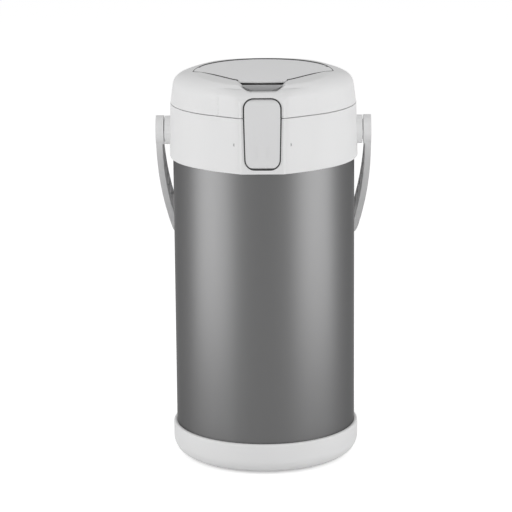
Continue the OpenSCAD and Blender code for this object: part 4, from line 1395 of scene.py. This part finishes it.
@dataclass(frozen=True)
class Softbox:
    """A wide soft lamp that faces the pot, from a turn to one side of the camera.

    Attributes:
        name: the lamp's name.
        turn: degrees round the pot from its front, towards +X.
        distance: metres from the pot's axis.
        height: metres above the floor.
        size: width and height, in metres.
        power: watts.
        diffuse: whether it lights matt surfaces.
        glossy: whether glossy surfaces show it.
        aim_z: height that it faces, in metres.
    """

    name: str
    turn: float
    distance: float
    height: float
    size: tuple[float, float]
    power: float
    diffuse: bool = True
    glossy: bool = True
    aim_z: float = 0.2

    def build(self) -> None:
        """Makes the lamp, turned towards the middle of the pot."""
        data = bpy.data.lights.new(self.name, "AREA")
        data.shape = "RECTANGLE"
        data.size, data.size_y = self.size
        data.energy = self.power
        lamp = bpy.data.objects.new(self.name, data)
        bpy.context.scene.collection.objects.link(lamp)
        lamp.visible_diffuse, lamp.visible_glossy, lamp.visible_camera = self.diffuse, self.glossy, False
        a = math.radians(self.turn)
        place = Vector((self.distance * math.sin(a), -self.distance * math.cos(a), self.height))
        lamp.location = place
        lamp.rotation_euler = (Vector((0, 0, self.aim_z)) - place).to_track_quat("-Z", "Y").to_euler()


@dataclass
class Studio:
    """Floor, world, lamps and camera. Its lengths are in metres, as are a Softbox's.

    Attributes:
        aim: the point that the camera looks at, before yaw.
        distance: from that point to the camera.
        pitch: degrees that the camera looks down.
        yaw: degrees that the camera stands round the pot.
        roll: degrees that the camera is turned about its view.
        lens: focal length, in millimetres.
        sensor: width of the sensor, in millimetres.
        world: strength of the sky's light.
        floor_size: side of the floor.
        floor_bounce: share of the light that the floor sends back to the pot.
        floor_lift: brightness that the floor has of its own where it is seen.
        view_end: how far the camera sees.
        lamps: the lamps.
    """

    aim: tuple[float, float, float] = (-0.00685, 0.0, 0.1626)
    distance: float = 2.0499
    pitch: float = 13.67
    yaw: float = 0.86
    roll: float = -0.482
    lens: float = 178.2
    sensor: float = 36.0
    world: float = 0.70
    floor_size: float = 9.0
    lamps: tuple[Softbox, ...] = (
        Softbox("side_left", -72.0, 1.5, 0.45, (1.1, 1.5), 10.0),
        Softbox("side_right", 72.0, 1.5, 0.45, (1.1, 1.5), 10.0),
        Softbox("front", 0.0, 2.2, 0.75, (1.3, 1.3), 7.0, glossy=False),
        Softbox("strip_left", -63.0, 0.45, 0.03, (0.46, 0.52), 2.05, diffuse=False),
        Softbox("strip_right", 63.0, 0.45, 0.03, (0.46, 0.52), 2.0, diffuse=False),
    )
    floor_bounce: float = 0.80
    floor_lift: float = 0.42
    view_end: float = 50.0

    def build(self) -> None:
        """Makes the whole studio."""
        self.sky()
        self.floor()
        for lamp in self.lamps:
            lamp.build()
        self.camera()

    def seen(self, tree: "Tree") -> Wire:
        """1 where the camera, a mirror or glass looks and 0 for light that falls on the pot.

        Args:
            tree: the tree that asks.

        Returns:
            The mask.
        """
        rays = [tree.node("ShaderNodeLightPath", out=ray)
                for ray in ("Is Camera Ray", "Is Glossy Ray", "Is Transmission Ray")]
        return rays[0].most(rays[1]).most(rays[2])

    def sky(self) -> None:
        """An even pale world, pure white where it is seen."""
        world = bpy.data.worlds.new("studio_sky")
        bpy.context.scene.world = world
        tree = Tree(world)
        strength = self.seen(tree) * (1 - self.world) + self.world
        tree.surface(tree.node("ShaderNodeBackground", {}, {"Strength": strength}), "World")

    def floor(self) -> None:
        """A plain white floor that keeps the pot's shadow."""
        half = self.floor_size / 2
        square = [(-half, -half, 0), (half, -half, 0), (half, half, 0), (-half, half, 0)]
        mesh = bpy.data.meshes.new("floor")
        mesh.from_pydata(square, [], [(0, 1, 2, 3)])
        floor = new_piece("floor", mesh)
        material = bpy.data.materials.new("floor_white")
        tree = Tree(material)
        white, grey = (1.0, 1.0, 1.0), (self.floor_bounce,) * 3
        bounce = tree.node("ShaderNodeBsdfDiffuse", {}, {"Color": (*grey, 1.0)})
        plain = tree.node("ShaderNodeBsdfDiffuse", {}, {"Color": (*white, 1.0)})
        lift = tree.node("ShaderNodeEmission", {}, {"Color": (*white, 1.0), "Strength": self.floor_lift})
        bright = tree.node("ShaderNodeAddShader", {}, {0: plain, 1: lift})
        tree.surface(tree.node("ShaderNodeMixShader", {}, {0: self.seen(tree), 1: bounce, 2: bright}))
        mesh.materials.append(material)

    def camera(self) -> None:
        """A long lens that looks slightly down on the pot."""
        data = bpy.data.cameras.new("view")
        data.lens, data.sensor_width = self.lens, self.sensor
        data.clip_end = self.view_end
        camera = bpy.data.objects.new("view", data)
        bpy.context.scene.collection.objects.link(camera)
        a, b = math.radians(self.yaw), math.radians(self.pitch)
        ahead = Vector((-math.sin(a) * math.cos(b), math.cos(a) * math.cos(b), -math.sin(b)))
        aim = Matrix.Rotation(a, 3, "Z") @ Vector(self.aim)
        rolled = Matrix.Rotation(math.radians(self.roll), 3, "Z")
        turned = ahead.to_track_quat("-Z", "Y").to_matrix() @ rolled
        camera.matrix_world = Matrix.Translation(aim - ahead * self.distance) @ turned.to_4x4()
        bpy.context.scene.camera = camera
        bpy.context.scene.view_settings.view_transform = "Standard"


def corners(box: tuple) -> list[list[float]]:
    """A box's two corners as plain lists of numbers."""
    return [[float(value) for value in corner] for corner in box]


def main() -> None:
    """Builds the looks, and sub-assembly by sub-assembly."""
    logging.basicConfig(level=logging.INFO, format="%(name)s: %(message)s")
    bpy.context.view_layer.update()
    shop = Workshop()
    Studio().build()
    Case().build(shop)
    Shells().build(shop)
    GapShadeBeads().build(shop)
    Fittings().build(shop)
    Innards().build(shop)


if __name__ == "__main__":
    main()
